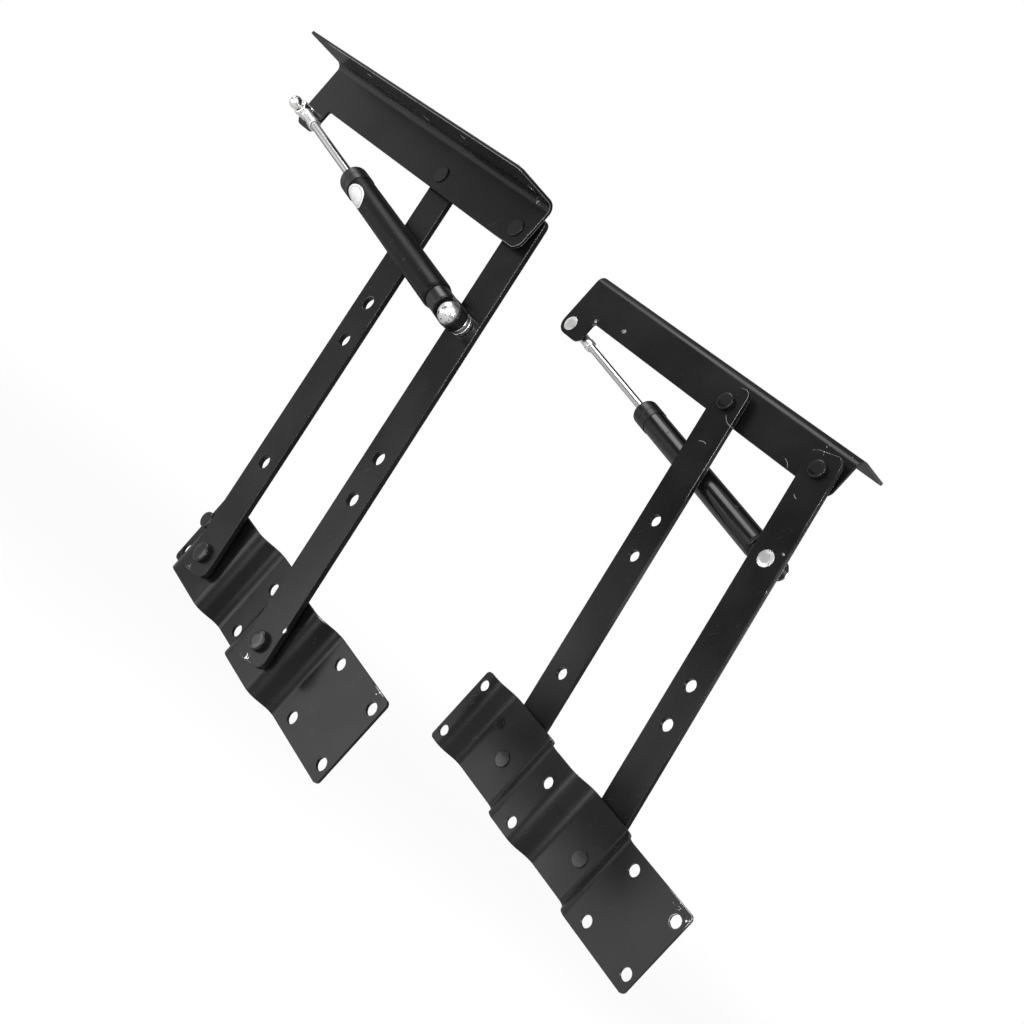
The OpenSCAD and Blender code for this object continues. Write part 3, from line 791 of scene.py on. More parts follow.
def black_paint(name, wear=0.2, chips=(), arcs=(), roughness=(0.22, 0.30), tones=PAINT_TONES, shine=0.22):
    """Glossy black sprayed paint on steel, rubbed at edges, chipped and scratched at the given places, with
    painted highlights as bare steel along the edges at the wide places.
    """
    f = Finish(name, Specular_IOR_Level=shine)
    grain = f.group("paint_grain", Dust=0.5)
    bare = bared(f, wear, chips, arcs)
    rubs = f.group("scratches", Scale=30.0, Length=18.0, Amount=0.6)["Mask"]
    gloss = f.gloss(grain)
    paint = f.mix_colour(times(f.tree, rubs, RUB_SHARE), f.mix_colour(gloss, *tones), RUBBED)
    f.link(f.mix_colour(bare, paint, BARE_STEEL), "Base Color")
    f.link(bare, "Metallic")
    painted = f.mix(rubs, f.mix(gloss, *roughness), RUB_ROUGHNESS)
    f.link(f.mix(bare, painted, BARE_ROUGHNESS), "Roughness")
    f.bump(minus(f.tree, grain["Height"], times(f.tree, bare, CHIP_DEPTH)), PAINT_RELIEF)
    return f.material


def gloss_enamel(name, roughness, shine):
    """Smooth black enamel of the pressure tube, with faint rub marks."""
    f = Finish(name, Specular_IOR_Level=shine)
    grain = f.group("paint_grain", Peel_Scale=90.0)
    rubs = f.group("scratches", Scale=30.0, Length=14.0, Amount=0.7)["Mask"]
    f.link(f.mix_colour(rubs, *ENAMEL_TONES), "Base Color")
    f.link(f.mix(rubs, f.mix(f.gloss(grain), *roughness), ENAMEL_RUB_ROUGHNESS), "Roughness")
    f.bump(grain["Height"], ENAMEL_RELIEF)
    return f.material


def bright_zinc(name, marks_amount):
    """Bright zinc plate: pale metal with dark scuffs and an uneven polish."""
    f = Finish(name, Metallic=1.0)
    grain = f.group("paint_grain", Peel_Scale=170.0)
    marks = f.group("scratches", Scale=60.0, Length=6.0, Amount=marks_amount)["Mask"]
    gloss = f.gloss(grain, (0.35, 0.65))
    f.link(f.mix_colour(marks, f.mix_colour(gloss, *ZINC_TONES), ZINC_MARK), "Base Color")
    f.link(f.mix(marks, f.mix(gloss, *ZINC_ROUGHNESS), ZINC_MARK_ROUGHNESS), "Roughness")
    f.bump(minus(f.tree, grain["Height"], times(f.tree, marks, ZINC_MARK_DEPTH)), ZINC_RELIEF)
    return f.material


def blank_film(name):
    """Blank silver-white label film with one thin printed border and no words."""
    f = Finish(name, Specular_IOR_Level=0.5)
    split = f.tree.nodes.new("ShaderNodeSeparateXYZ")
    coordinate = f.tree.nodes.new("ShaderNodeTexCoord")
    f.tree.links.new(coordinate.outputs["UV"], split.inputs[0])
    out = split.outputs["X"]
    border = times(f.tree, ramp(f.tree, out, *BORDER_IN), fall(f.tree, out, *BORDER_OUT))
    grain = f.group("paint_grain", Peel_Scale=500.0)
    smudge = f.gloss(grain, (0.35, 0.75))
    tone = f.mix_colour(smudge, *FILM_TONES)
    f.link(f.mix_colour(times(f.tree, border, BORDER_SHARE), tone, FILM_BORDER), "Base Color")
    f.link(f.mix(smudge, *FILM_ROUGHNESS), "Roughness")
    f.bump(grain["Height"], FILM_RELIEF)
    return f.material


def one_stuff(name, tones, roughness, peel, relief, **constants):
    """Moulded, turned or ground surface of one stuff: two near tones and an uneven gloss."""
    f = Finish(name, **constants)
    grain = f.group("paint_grain", Peel_Scale=peel)
    gloss = f.gloss(grain)
    f.link(f.mix_colour(gloss, *tones), "Base Color")
    f.link(f.mix(gloss, *roughness), "Roughness")
    if relief:
        f.bump(grain["Height"], relief)
    return f.material


# Pieces of one hand

def bolt_profile(tail_tip, tail_layer, head_layer, head_tip):
    """Shoulder bolt from its riveted tail to its head, as (radius, layer)."""
    crown = math.copysign(CROWN, head_tip - head_layer)
    points = [(0, tail_tip), (TAIL_D / 2, tail_tip), (TAIL_D / 2, tail_layer), (PIVOT_D / 2, tail_layer),
              (PIVOT_D / 2, head_layer), (HEAD_D / 2, head_layer), (HEAD_D / 2, head_tip),
              (CROWN_D / 2, head_tip + crown), (0, head_tip + crown)]
    return rounded(points, [0, TAIL_EDGE, 0, 0, 0, FINE_R, HEAD_EDGE, CROWN_R, 0])


def make_base_plate(hand, material):
    mid, top = PLATE_T / 2, RAISE + PLATE_T / 2
    rear_start = hand.rear_base.x - PIVOT_INSET
    front_start = hand.front_base.x - PIVOT_INSET
    rear_end, front_end = rear_start + REAR_RAISE_L, front_start + FRONT_RAISE_L
    left, right = hand.plate_x
    low, high = hand.plate_z
    line = [(left, mid), (rear_start - SLOPE_RUN, mid), (rear_start, top), (rear_end, top),
            (rear_end + SLOPE_RUN, mid), (front_start - SLOPE_RUN, mid), (front_start, top),
            (front_end, top), (front_end + SLOPE_RUN, mid), (right, mid)]
    mesh = extruded("plate", sheet_section(line, [BEND_R] * 8, PLATE_T), level, (low, high))
    corners = rounded([(left, low), (right, low), (right, high), (left, high)], [PLATE_CORNER_R] * 4)
    mesh = boolean(mesh, extruded("cutter", corners, upright, (-OVER, RAISE + 2 * OVER)), "INTERSECT")
    middle_z = (low + high) / 2
    mid_x = (rear_end + SLOPE_RUN + front_start - SLOPE_RUN) / 2 + MID_HOLE_SHIFT
    rows = [left + REAR_HOLE_EDGE, right - FRONT_HOLE_EDGE - WALL_HOLE_PITCH, right - FRONT_HOLE_EDGE]
    cutters = []
    for side in (-1, 1):
        for x in rows:
            cutters.append(hole_cutter(x, middle_z + side * WALL_HOLE_PITCH / 2, WALL_HOLE_D, *WALL_DRILL))
        cutters.append(hole_cutter(mid_x, side * MID_HOLE_PITCH / 2, WALL_HOLE_D, *WALL_DRILL))
    mesh = broken_edges(drilled(mesh, cutters))
    hand.place("base_plate", mesh, "base_plates", material, "black_paint")


def make_arm(hand, piece, base, holes, has_stud, body, material):
    """Flat bar from a base pivot to a top pivot, with spare holes at the given drops from the top one."""
    way = hand.arm_way
    side = Vector((-way.y, way.x))
    ends = (base - way * ARM_END, base + way * (hand.arm_len + ARM_END))
    outline = rounded([ends[0] - side * ARM_W / 2, ends[1] - side * ARM_W / 2,
                       ends[1] + side * ARM_W / 2, ends[0] + side * ARM_W / 2], [ARM_CORNER_R] * 4)
    mesh = extruded("arm", outline, upright, (hand.arm_face, hand.arm_back))
    top = base + way * hand.arm_len
    span = (hand.arm_face - SPARE, hand.arm_back + SPARE)
    drills = [(at, PIVOT_D + 2 * RUN_GAP) for at in (base, top)]
    drills += [(top - way * drop, ARM_HOLE_D) for drop in holes]
    if has_stud:
        drills.append((hand.stud, PIVOT_D + 2 * RUN_GAP))
    mesh = drilled(mesh, [hole_cutter(*at, width, *span) for at, width in drills])
    mesh = broken_edges(mesh, ARM_EDGE_R)
    hand.place(piece, mesh, body, material, "black_paint")


def bracket_plan(left, right, face, back):
    """The bracket from above: room round its web, and the flange's free corners rounded."""
    near, step = face - ROOM, face + 2 * RAIL_T
    rear, front = left - ROOM, right + ROOM
    corners = rounded([(rear, near), (front, near), (right, back), (left, back)],
                      [0, 0, FLANGE_CORNER_R, FLANGE_CORNER_R])
    steps = [Vector(p) for p in ((front, step), (right, step), (left, step), (rear, step))]
    return corners[:2] + steps[:2] + corners[2:] + steps[2:]


def make_top_bracket(hand, material):
    """L-bent rail: web with a hanging lug at its rear end, and a flange with four screw holes."""
    left, right = hand.rail_x
    low = hand.rail_top - RAIL_H
    lug_low = low - LUG_DROP
    face, back = hand.rail_face, hand.rail_face + FLANGE_W
    above = hand.rail_top + ROOM
    mid_y, mid_z = face + RAIL_T / 2, hand.rail_top - RAIL_T / 2
    line = [(mid_y, lug_low - SPARE), (mid_y, mid_z), (back + SPARE, mid_z)]
    mesh = extruded("rail", sheet_section(line, [RAIL_BEND_R], RAIL_T), endwise, (left, right))
    web = rounded([(left, lug_low), (left + LUG_L, lug_low), (left + LUG_L, low), (right, low),
                   (right, above), (left, above)], [LUG_REAR_R, LUG_FRONT_R, NOTCH_R, RAIL_CORNER_R, 0, 0])
    mesh = boolean(mesh, extruded("cutter", web, upright, (face - ROOM, back + OVER)), "INTERSECT")
    plan = bracket_plan(left, right, face, back)
    cutter = extruded("cutter", plan, level, (lug_low - OVER, hand.rail_top + OVER))
    mesh = boolean(mesh, cutter, "INTERSECT")
    r = SCREW_HOLE_D / 2
    for k in range(SCREW_COUNT):
        at = (left + SCREW_REAR + k * SCREW_PITCH, face + SCREW_ROWS[k % 2], hand.rail_top)
        profile = [(0, -OVER), (r, -OVER), (r, OVER), (0, OVER)]
        mesh = boolean(mesh, turned("cutter", profile, Matrix.Translation(at), HOLE_STEPS), "DIFFERENCE")
    hand.place("top_bracket", broken_edges(mesh), "top_rail", material, "black_paint")


def make_bolts(hand, material):
    """The two lower pivots, headed inside, and the two upper ones, headed on the wall side."""
    for piece, at in (("rear_base_bolt", hand.rear_base), ("front_base_bolt", hand.front_base)):
        tail, head = hand.layers(piece)
        profile = bolt_profile(tail, RAISE, hand.arm_back + SIDE_GAP, head - CROWN)
        hand.place(piece, turned(piece, profile, across_at(*at)), "base_plates", material, "black_bolt")
    for piece, at in (("rear_top_bolt", hand.rear_top), ("front_top_bolt", hand.front_top)):
        head, tail = hand.layers(piece)
        profile = bolt_profile(tail, hand.rail_back, hand.arm_face - SIDE_GAP, head + CROWN)
        hand.place(piece, turned(piece, profile, across_at(*at)), "top_rail", material, "black_bolt")


def make_stop_bolt(hand, material):
    """Plain peg on the rear raised section, riveted behind it."""
    low, tip = hand.layers("stop_bolt")
    r, tail, shank = STOP_D / 2, STOP_TAIL_D / 2, STOP_SHANK_D / 2
    behind, sheet = RAISE - STOP_TAIL_SINK, RAISE + PLATE_T
    profile = rounded([(0, low), (tail, low), (tail, behind), (shank, behind), (shank, sheet),
                       (r, sheet), (r, tip), (0, tip)], [0, FINE_R, 0, 0, 0, FINE_R, HEAD_EDGE, 0])
    mesh = turned("stop_bolt", profile, across_at(*hand.middle("stop_bolt")))
    hand.place("stop_bolt", mesh, "base_plates", material, "black_bolt")


def make_spacers(hand, material):
    """Two rings under the arms and two between the arms and the bracket."""
    sets = (("base_spacers", (hand.rear_base, hand.front_base), "base_plates"),
            ("top_spacers", (hand.rear_top, hand.front_top), "top_rail"))
    for piece, places, body in sets:
        low, high = hand.layers(piece)
        bore = PIVOT_D / 2 + RUN_GAP
        outline = [(bore, low), (SPACER_D / 2, low), (SPACER_D / 2, high), (bore, high)]
        section = rounded(outline, [0, EDGE_R, EDGE_R, 0], SMALL_CORNER_STEPS)
        joined = bmesh.new()
        for at in places:
            ring = turned("ring", section, across_at(*at))
            joined.from_mesh(ring)
            bpy.data.meshes.remove(ring)
        mesh = bpy.data.meshes.new(piece)
        joined.to_mesh(mesh)
        joined.free()
        hand.place(piece, mesh, body, material, "black_bolt")


def riveted_tail(face):
    """Rivet tail with a shallow crown, from its middle to the shank, against the layer face."""
    r, end = STUD_TAIL_D / 2, face - STUD_TAIL_H
    return [(0, end), (r - STUD_TAIL_SLOPE, end), (r, face - STUD_TAIL_RIM), (r, face), (PIVOT_D / 2, face)]


def dome(diameter, height, rim):
    """Domed head from its rim layer up to its top, as (radius, layer)."""
    r = (diameter ** 2 / 4 + height ** 2) / (2 * height)
    side = math.asin(min(1, diameter / 2 / r))
    angles = (side * k / DOME_STEPS for k in range(DOME_STEPS, -1, -1))
    return [Vector((r * math.sin(a), rim + height - r + r * math.cos(a))) for a in angles]


def make_lower_stud(hand, zinc):
    """The bright stud riveted in the front arm, with its grooved collar and its dome."""
    face, back = hand.arm_face, hand.arm_back
    eye = hand.socket_layers[0] - SIDE_GAP
    rim = hand.layers("lower_stud")[1] - DOME_H
    r, shank, deep = COLLAR_D / 2, PIVOT_D / 2, COLLAR_GROOVE_DEPTH
    groove = back + COLLAR_GROOVE
    outline = riveted_tail(face) + [(shank, back), (r, back), (r, groove - deep), (r - deep, groove),
                                    (r, groove + deep), (r, eye), (shank, eye), (shank, rim)]
    radii = STUD_TAIL_RADII + [0, COLLAR_EDGES[0], FINE_R, FINE_R, FINE_R, COLLAR_EDGES[1], 0, 0]
    profile = rounded(outline, radii, TURNED_CORNER_STEPS) + dome(DOME_D, DOME_H, rim)
    profile[-1] = Vector((0, profile[-1].y))
    mesh = turned("lower_stud", profile, across_at(*hand.stud))
    hand.place("lower_stud", mesh, "front_link", zinc, "zinc_steel")


def make_lug_stud(hand, zinc):
    """The bright stud riveted in the bracket's lug."""
    back, foot, top = hand.rail_back, FOOT_D / 2, hand.layers("lug_stud")[1]
    outline = riveted_tail(hand.rail_face) + [(PIVOT_D / 2, back), (foot, back), (foot, top), (0, top)]
    profile = rounded(outline, STUD_TAIL_RADII + [0, FOOT_EDGE, FINE_R, 0], TURNED_CORNER_STEPS)
    mesh = turned("lug_stud", profile, across_at(*hand.eye))
    hand.place("lug_stud", mesh, "top_rail", zinc, "zinc_steel")


def make_gas_tube(hand, enamel):
    """Pressure tube with its end stud, drawn inside too, because the rod and piston run in it."""
    r, bore = TUBE_D / 2, TUBE_D / 2 - TUBE_WALL
    stud = END_STUD_D / 2
    lip, tip = bore - TUBE_LIP, TUBE_START - END_STUD_L
    roll, floor = TUBE_END - TUBE_ROLL, TUBE_START + TUBE_FLOOR
    outline = [(0, tip), (stud, tip), (stud, TUBE_START), (r - TUBE_TAPER, TUBE_START),
               (r, TUBE_START + TUBE_TAPER_L), (r, TUBE_END), (lip, TUBE_END), (lip, roll), (bore, roll),
               (bore, floor), (0, floor)]
    mesh = turned("gas_tube", rounded(outline, TUBE_RADII, FITTING_CORNER_STEPS), hand.gas)
    hand.place("gas_tube", mesh, "gas_cylinder", enamel, "gloss_black")


def make_tube_cap(hand, cap_finish):
    """Cap over the tube's rod end, with a round rim and one faint groove."""
    end = TUBE_END + CAP_FACE
    start, groove = end - CAP_L, end - CAP_L * CAP_GROOVE_AT
    r_in, r_out, hole = TUBE_D / 2 + RUN_GAP, TUBE_D / 2 + CAP_WALL, ROD_D / 2 + CAP_HOLE_GAP
    low, far = r_out - CAP_GROOVE_DEPTH, groove + CAP_GROOVE_W
    outline = [(r_in, start), (r_out, start), (r_out, groove - CAP_GROOVE_SLOPE), (low, groove), (low, far),
               (r_out, far + CAP_GROOVE_SLOPE), (r_out, end), (hole, end), (hole, TUBE_END), (r_in, TUBE_END)]
    mesh = turned("tube_cap", rounded(outline, CAP_RADII, FITTING_CORNER_STEPS), hand.gas)
    hand.place("tube_cap", mesh, "gas_cylinder", cap_finish, "cap_plastic")


def make_socket(hand, socket_finish):
    """Black end fitting: a flat eye on the stud and a round neck on the tube's axis."""
    low, high = hand.socket_layers
    near, far = low - hand.gas_y, high - hand.gas_y
    r, edge = SOCKET_D / 2, SOCKET_EDGE_R
    eye = rounded([(0, low), (r, low), (r, high), (0, high)], [0, edge, edge, 0], FITTING_CORNER_STEPS)
    mesh = turned("eye", eye, across_at(*hand.stud))
    block = rounded([(-r, near), (r, near), (r, far), (-r, far)], [edge] * 4, TURNED_CORNER_STEPS)
    tongue = extruded("tongue", block, lambda p, d: hand.gas @ Vector((*p, d)), (0, SHOULDER + EDGE_OVERLAP))
    mesh = boolean(mesh, tongue, "UNION")
    outline = [(0, SHOULDER), (r, SHOULDER), (r, TUBE_START), (0, TUBE_START)]
    neck = rounded(outline, [0, edge, SOCKET_END_R, 0], TURNED_CORNER_STEPS)
    mesh = boolean(mesh, turned("neck", neck, hand.gas), "UNION")
    bore, deep = END_STUD_D / 2 + RUN_GAP, TUBE_START - END_STUD_L - RUN_GAP
    drill = [(0, deep), (bore, deep), (bore, TUBE_START + OVER), (0, TUBE_START + OVER)]
    mesh = drilled(mesh, [hole_cutter(*hand.stud, PIVOT_D + 2 * RUN_GAP, low - OVER, high + OVER),
                          turned("cutter", drill, hand.gas, HOLE_STEPS)])
    mesh = broken_edges(mesh, SOCKET_BREAK, FITTING_ANGLE, FITTING_SEGMENTS)
    hand.place("lower_socket", mesh, "gas_cylinder", socket_finish, "socket_plastic")


def film_point(hand, share, angle, lift):
    """A point of the oval film: share is how far out from its middle, lift how far off the tube."""
    middle = TUBE_END + CAP_FACE - CAP_L - LABEL_GAP - LABEL_L / 2
    around = math.radians(90 - LABEL_TURN) + share * LABEL_W / TUBE_D * math.cos(angle)
    radius = TUBE_D / 2 + lift
    along = middle + share * LABEL_L / 2 * math.sin(angle)
    return hand.gas @ Vector((-radius * math.cos(around), radius * math.sin(around), along))


def make_label(hand, film):
    """Oval film wrapped round the tube below its cap, on the side away from the arms."""
    bm = bmesh.new()
    places = [(k / LABEL_RINGS, LABEL_T) for k in range(1, LABEL_RINGS + 1)] + [(1.0, LABEL_RIM)]
    loops = [[bm.verts.new(film_point(hand, share, math.tau * s / LABEL_SPOKES, lift))
              for s in range(LABEL_SPOKES)] for share, lift in places]
    centre = bm.verts.new(film_point(hand, 0, 0, LABEL_T))
    shares = {centre: 0.0}
    for loop, (share, _) in zip(loops, places):
        shares.update({v: share for v in loop})
    out = bm.loops.layers.uv.new("UVMap")
    for s in range(LABEL_SPOKES):
        n = (s + 1) % LABEL_SPOKES
        bm.faces.new((centre, loops[0][s], loops[0][n]))
        for inner, outer in zip(loops, loops[1:]):
            bm.faces.new((inner[s], outer[s], outer[n], inner[n]))
    for face in bm.faces:
        for corner in face.loops:
            corner[out].uv = (shares[corner.vert], 0.5)
    bmesh.ops.recalc_face_normals(bm, faces=bm.faces)
    bm.normal_update()
    on_axis = hand.gas @ Vector((0, 0, (hand.gas.inverted() @ centre.co).z))
    if bm.faces[0].normal.dot(centre.co - on_axis) < 0:
        bmesh.ops.reverse_faces(bm, faces=bm.faces)
    mesh = bpy.data.meshes.new("tube_label")
    bm.to_mesh(mesh)
    bm.free()
    hand.place("tube_label", mesh, "gas_cylinder", film, "blank_label")


def make_gas_rod(hand, chrome):
    r, end = ROD_D / 2, hand.gas_len - FERRULE_REACH + ROD_SCREW_L
    outline = [(0, ROD_START), (r, ROD_START), (r, end), (0, end)]
    profile = rounded(outline, [0, 0, ROD_END_R, 0], SMALL_CORNER_STEPS)
    hand.place("gas_rod", turned("gas_rod", profile, hand.gas), "gas_piston", chrome, "rod_chrome")


def make_ferrule(hand, zinc):
    """Turned sleeve with a waist, screwed on the rod."""
    start, end = hand.gas_len - FERRULE_REACH, hand.gas_len - FERRULE_IN
    r, bore, deep = FERRULE_D / 2, ROD_D / 2 + RUN_GAP, start + ROD_SCREW_L
    waist = r - FERRULE_WAIST
    outline = [(bore, start), (r, start), (r, start + FERRULE_HEAD[0]), (waist, start + FERRULE_HEAD[1]),
               (waist, end - FERRULE_FOOT[0]), (r, end - FERRULE_FOOT[1]), (r, end), (0, end), (0, deep),
               (bore, deep)]
    radii = [0, FERRULE_EDGES[0], FINE_R, FINE_R, FINE_R, FINE_R, FERRULE_EDGES[1], 0, 0, 0]
    mesh = turned("rod_ferrule", rounded(outline, radii, TURNED_CORNER_STEPS), hand.gas)
    hand.place("rod_ferrule", mesh, "gas_piston", zinc, "zinc_steel")


def make_rod_eye(hand, zinc):
    """Eye on the pin, with a short neck to the ferrule."""
    low, high = hand.layers("rod_eye")
    r, neck_r, start = EYE_D / 2, EYE_NECK_D / 2, hand.gas_len - FERRULE_IN
    outline = [(0, low), (r, low), (r, high), (0, high)]
    ring = rounded(outline, [0, EYE_EDGE_R, EYE_EDGE_R, 0], FITTING_CORNER_STEPS)
    neck = [(0, start), (neck_r, start), (neck_r, hand.gas_len), (0, hand.gas_len)]
    mesh = boolean(turned("eye", ring, across_at(*hand.eye)), turned("neck", neck, hand.gas), "UNION")
    mesh = drilled(mesh, [hole_cutter(*hand.eye, PIVOT_D + 2 * RUN_GAP, low - OVER, high + OVER)])
    mesh = broken_edges(mesh, EYE_BREAK, FITTING_ANGLE, FITTING_SEGMENTS)
    hand.place("rod_eye", mesh, "gas_piston", zinc, "zinc_steel")


def make_ball_pin(hand, zinc):
    """Pin through the eye, from its foot beside the lug stud to its ball."""
    low, high = hand.layers("ball_pin")
    foot_top, eye_back = hand.layers("rod_eye")
    r, shank, foot = BALL_D / 2, PIVOT_D / 2, FOOT_D / 2
    ball_y = high - r
    cut = math.asin((eye_back - ball_y) / r)
    angles = (cut + (math.pi / 2 - cut) * k / BALL_STEPS for k in range(BALL_STEPS))
    outline = [(0, low), (foot, low), (foot, foot_top), (shank, foot_top)]
    profile = rounded(outline, [0, FINE_R, FOOT_EDGE, 0], SMALL_CORNER_STEPS)
    profile.append(Vector((shank, eye_back - PIN_SINK)))
    profile += [Vector((r * math.cos(a), ball_y + r * math.sin(a))) for a in angles]
    profile.append(Vector((0, high)))
    mesh = turned("ball_pin", profile, across_at(*hand.eye))
    hand.place("ball_pin", mesh, "gas_piston", zinc, "zinc_steel")


def piece_paint(hand, piece, wear, tones=PAINT_TONES):
    """Black paint with the chips, painted edge highlights and curved scratches of one piece of the hand, set
    in the row frame.
    """
    chips = [(hand.matrix @ Vector(at), radius * MM, amount)
             for at, radius, amount in CHIPS_AND_EDGE_HIGHLIGHTS[hand.name][piece]]
    arcs = [(hand.matrix @ Vector(centre), radius * MM, hand.matrix @ Vector(middle), reach * MM)
            for centre, radius, middle, reach in ARCS[hand.name].get(piece, ())]
    return black_paint(f"{hand.name}_{piece}_paint", wear, chips, arcs, tones=tones)


def make_hand(name, finishes):
    hand = Hand(name)
    # The right plate's lighter tones are painted light
    make_base_plate(hand, piece_paint(hand, "plate", 0.25, PLATE_PAINTED_LIGHT_TONES[name]))
    make_arm(hand, "rear_arm", hand.rear_base, REAR_ARM_HOLES, False, "rear_link",
             piece_paint(hand, "rear_arm", 0.2))
    make_arm(hand, "front_arm", hand.front_base, FRONT_ARM_HOLES, True, "front_link",
             piece_paint(hand, "front_arm", 0.2))
    make_top_bracket(hand, piece_paint(hand, "bracket", 0.1))
    make_bolts(hand, finishes["bolt"])
    make_stop_bolt(hand, finishes["bolt"])
    make_spacers(hand, finishes["bolt"])
    make_lower_stud(hand, finishes["scuffed"])
    make_lug_stud(hand, finishes["zinc"])
    make_gas_tube(hand, finishes["enamel"][name])
    make_tube_cap(hand, finishes["cap"])
    make_socket(hand, finishes["socket"])
    make_label(hand, finishes["film"])
    make_gas_rod(hand, finishes["chrome"])
    make_ferrule(hand, finishes["zinc"])
    make_rod_eye(hand, finishes["zinc"])
    make_ball_pin(hand, finishes["scuffed"])
    for piece, finish in INNER_FINISHES.items():
        node = frame["nodes"][hand.node(piece)]
        node.data.materials.clear()
        node.data.materials.append(finishes[finish])


# Places of paint chips and of painted edge highlights in each hand's own frame, in millimetres: centre,
# radius and how thick the chips lie.
# An edge within half the radius is bared bright: round the small chips this is rubbed paint, and at the wide
# places with thin chips it is painted highlight along the lit edges of the arms and of the left bracket,
# where the chips themselves are too thin to show.
CHIPS_AND_EDGE_HIGHLIGHTS = {
    "right": {
        "plate": [((172, 0, 31), 14, 0.30), ((181, 0, 30), 5, 0.42), ((20, 13, 33), 6, 0.35),
                  ((64, 0, 33), 5, 0.4)],
        "rear_arm": [((-60, 18.5, 288), 10, 0.28), ((-51, 18.5, 279), 22, 0.1), ((-44.5, 18.5, 252), 22, 0.1),
                     ((-38, 18.5, 225), 20, 0.1)],
        "front_arm": [((20, 18.5, 289), 8, 0.34), ((34, 18.5, 289), 9, 0.25), ((45, 18.5, 255), 18, 0.1),
                      ((49.7, 18.5, 221.5), 3, 0.5), ((60.5, 18.5, 196.8), 3, 0.5)],
        "bracket": [((-231, 27, 268), 5, 0.5), ((-200, 27, 274.7), 5, 0.5), ((12, 27, 293), 8, 0.27),
                    ((32, 27, 298), 5, 0.3)],
    },
    "left": {
        "plate": [((112, 15, 33), 6, 0.32), ((172, 2, 33), 6, 0.34), ((-33, 4, -28), 6, 0.34)],
        "rear_arm": [((-4, 22.5, -12), 6, 0.38), ((-56.2, 22.5, 280), 22, 0.1), ((-48.7, 22.5, 250), 24, 0.1),
                     ((-41.2, 22.5, 220), 24, 0.1), ((-33.7, 22.5, 190), 24, 0.1)],
        "front_arm": [((104.3, 22.5, 15.6), 3, 0.6), ((95, 22.5, -12), 8, 0.4), ((40, 22.5, 286), 6, 0.34),
                      ((38.8, 22.5, 280), 22, 0.1), ((46.3, 22.5, 250), 24, 0.1),
                      ((53.8, 22.5, 220), 24, 0.1), ((61.3, 22.5, 190), 24, 0.1)],
        "bracket": [((26, 29, 298), 8, 0.4), ((-60, 29, 299), 5, 0.34), ((-195, 65, 299), 40, 0.12),
                    ((-125, 65, 299), 50, 0.1), ((-50, 65, 299), 50, 0.12), ((15, 65, 299), 36, 0.14),
                    ((32, 45, 299), 24, 0.12), ((32, 29, 280), 24, 0.1)],
    },
}

# Curved scratches in each hand's own frame, in millimetres: the ring's centre and radius, the scratch's
# middle, and how far it reaches from there
ARCS = {
    "right": {
        "rear_arm": [((-52.8, 18.5, 277.2), 12, (-56.2, 18.5, 265.7), 7.5),
                     ((-60.2, 18.5, 238.8), 7, (-61.5, 18.5, 245.7), 4)],
        "front_arm": [((27.7, 18.5, 257.8), 4, (26.2, 18.5, 254.1), 2.5)],
        "bracket": [((-7.2, 27, 263), 8, (-2.8, 27, 269.7), 4.5), ((8, 27, 285), 2.6, (8, 27, 287.5), 3)],
    },
    "left": {},
}

FINISHES = {
    "bolt": black_paint("bolt_paint", 0.3, roughness=(0.12, 0.18), shine=0.4),
    "enamel": {"right": gloss_enamel("tube_enamel", (0.13, 0.2), 0.4),
               "left": gloss_enamel("dull_tube_enamel", (0.3, 0.42), 0.1)},
    "cap": one_stuff("cap_plastic", MOULDED_TONES, (0.26, 0.36), 500.0, MOULDED_RELIEF,
                     Specular_IOR_Level=0.35),
    "socket": one_stuff("socket_plastic", MOULDED_TONES, (0.22, 0.34), 500.0, MOULDED_RELIEF,
                        Specular_IOR_Level=0.35),
    "zinc": bright_zinc("bright_zinc", 0.6),
    "scuffed": bright_zinc("scuffed_zinc", 1.25),
    "chrome": one_stuff("rod_chrome", CHROME_TONES, (0.1, 0.16), 300.0, None, Metallic=1.0),
    "film": blank_film("blank_film"),
    "brass": one_stuff("guide_brass", BRASS_TONES, (0.3, 0.4), 800.0, TURNED_RELIEF, Metallic=1.0),
    "rubber": one_stuff("seal_rubber", RUBBER_TONES, (0.6, 0.7), 800.0, TURNED_RELIEF),
    "steel": one_stuff("piston_steel", STEEL_TONES, (0.3, 0.4), 800.0, TURNED_RELIEF, Metallic=1.0),
}
INNER_FINISHES = {"rod_guide": "brass", "rod_seal": "rubber", "piston": "steel", "piston_ring": "rubber"}


# Stage, light and camera

CAMERA_AT = (0.3812, -0.6839, 0.1748)
CAMERA_LOOKS_AT = (-0.2052, -0.0857, 0.1234)
CAMERA_ROLL = 42.1
CAMERA_LENS = 47.1
SENSOR = 36.0
FLOOR_DROP = 0.45
FLOOR_R = 3.0
FLOOR_FADE = (1.2, 2.8)
FLOOR_TONE = grey(0.5)
FLOOR_GLOW = 0.6
FLOOR_IN_METAL = 0.15
BRIGHT_SIDE = (-0.35, -0.94, 0.0)
BRIGHT_SPAN = (0.1, 0.7)
DARK_LEVEL = 0.18
SCREEN_SIDE = (-0.625, -0.776, 0.08)
SCREEN_SPAN = (0.86, 0.97)
SCREEN_DIM = 0.55
SOFT_LEVEL = 0.5

# Place in metres, side in metres and power in watts of each soft light
LAMPS = {
    "key_light": ((0.9, -1.2, 1.3), 0.7, 12.0),
    "end_light": ((1.36, -0.46, 0.67), 0.3, 7.0),
    "back_light": ((0.25, 1.5, 0.5), 0.3, 8.0),
    "top_light": ((-1.15, -0.85, 1.1), 0.7, 7.5),
    "low_light": ((-0.88, -1.2, -0.3), 0.65, 3.8),
    "front_light": ((0.3, -1.15, 0.05), 0.45, 3.8),
}


def looking(at, target):
    """Frame of a camera or lamp at one place that faces another."""
    way = Vector(target) - Vector(at)
    return Matrix.Translation(at) @ way.to_track_quat("-Z", "Y").to_matrix().to_4x4()


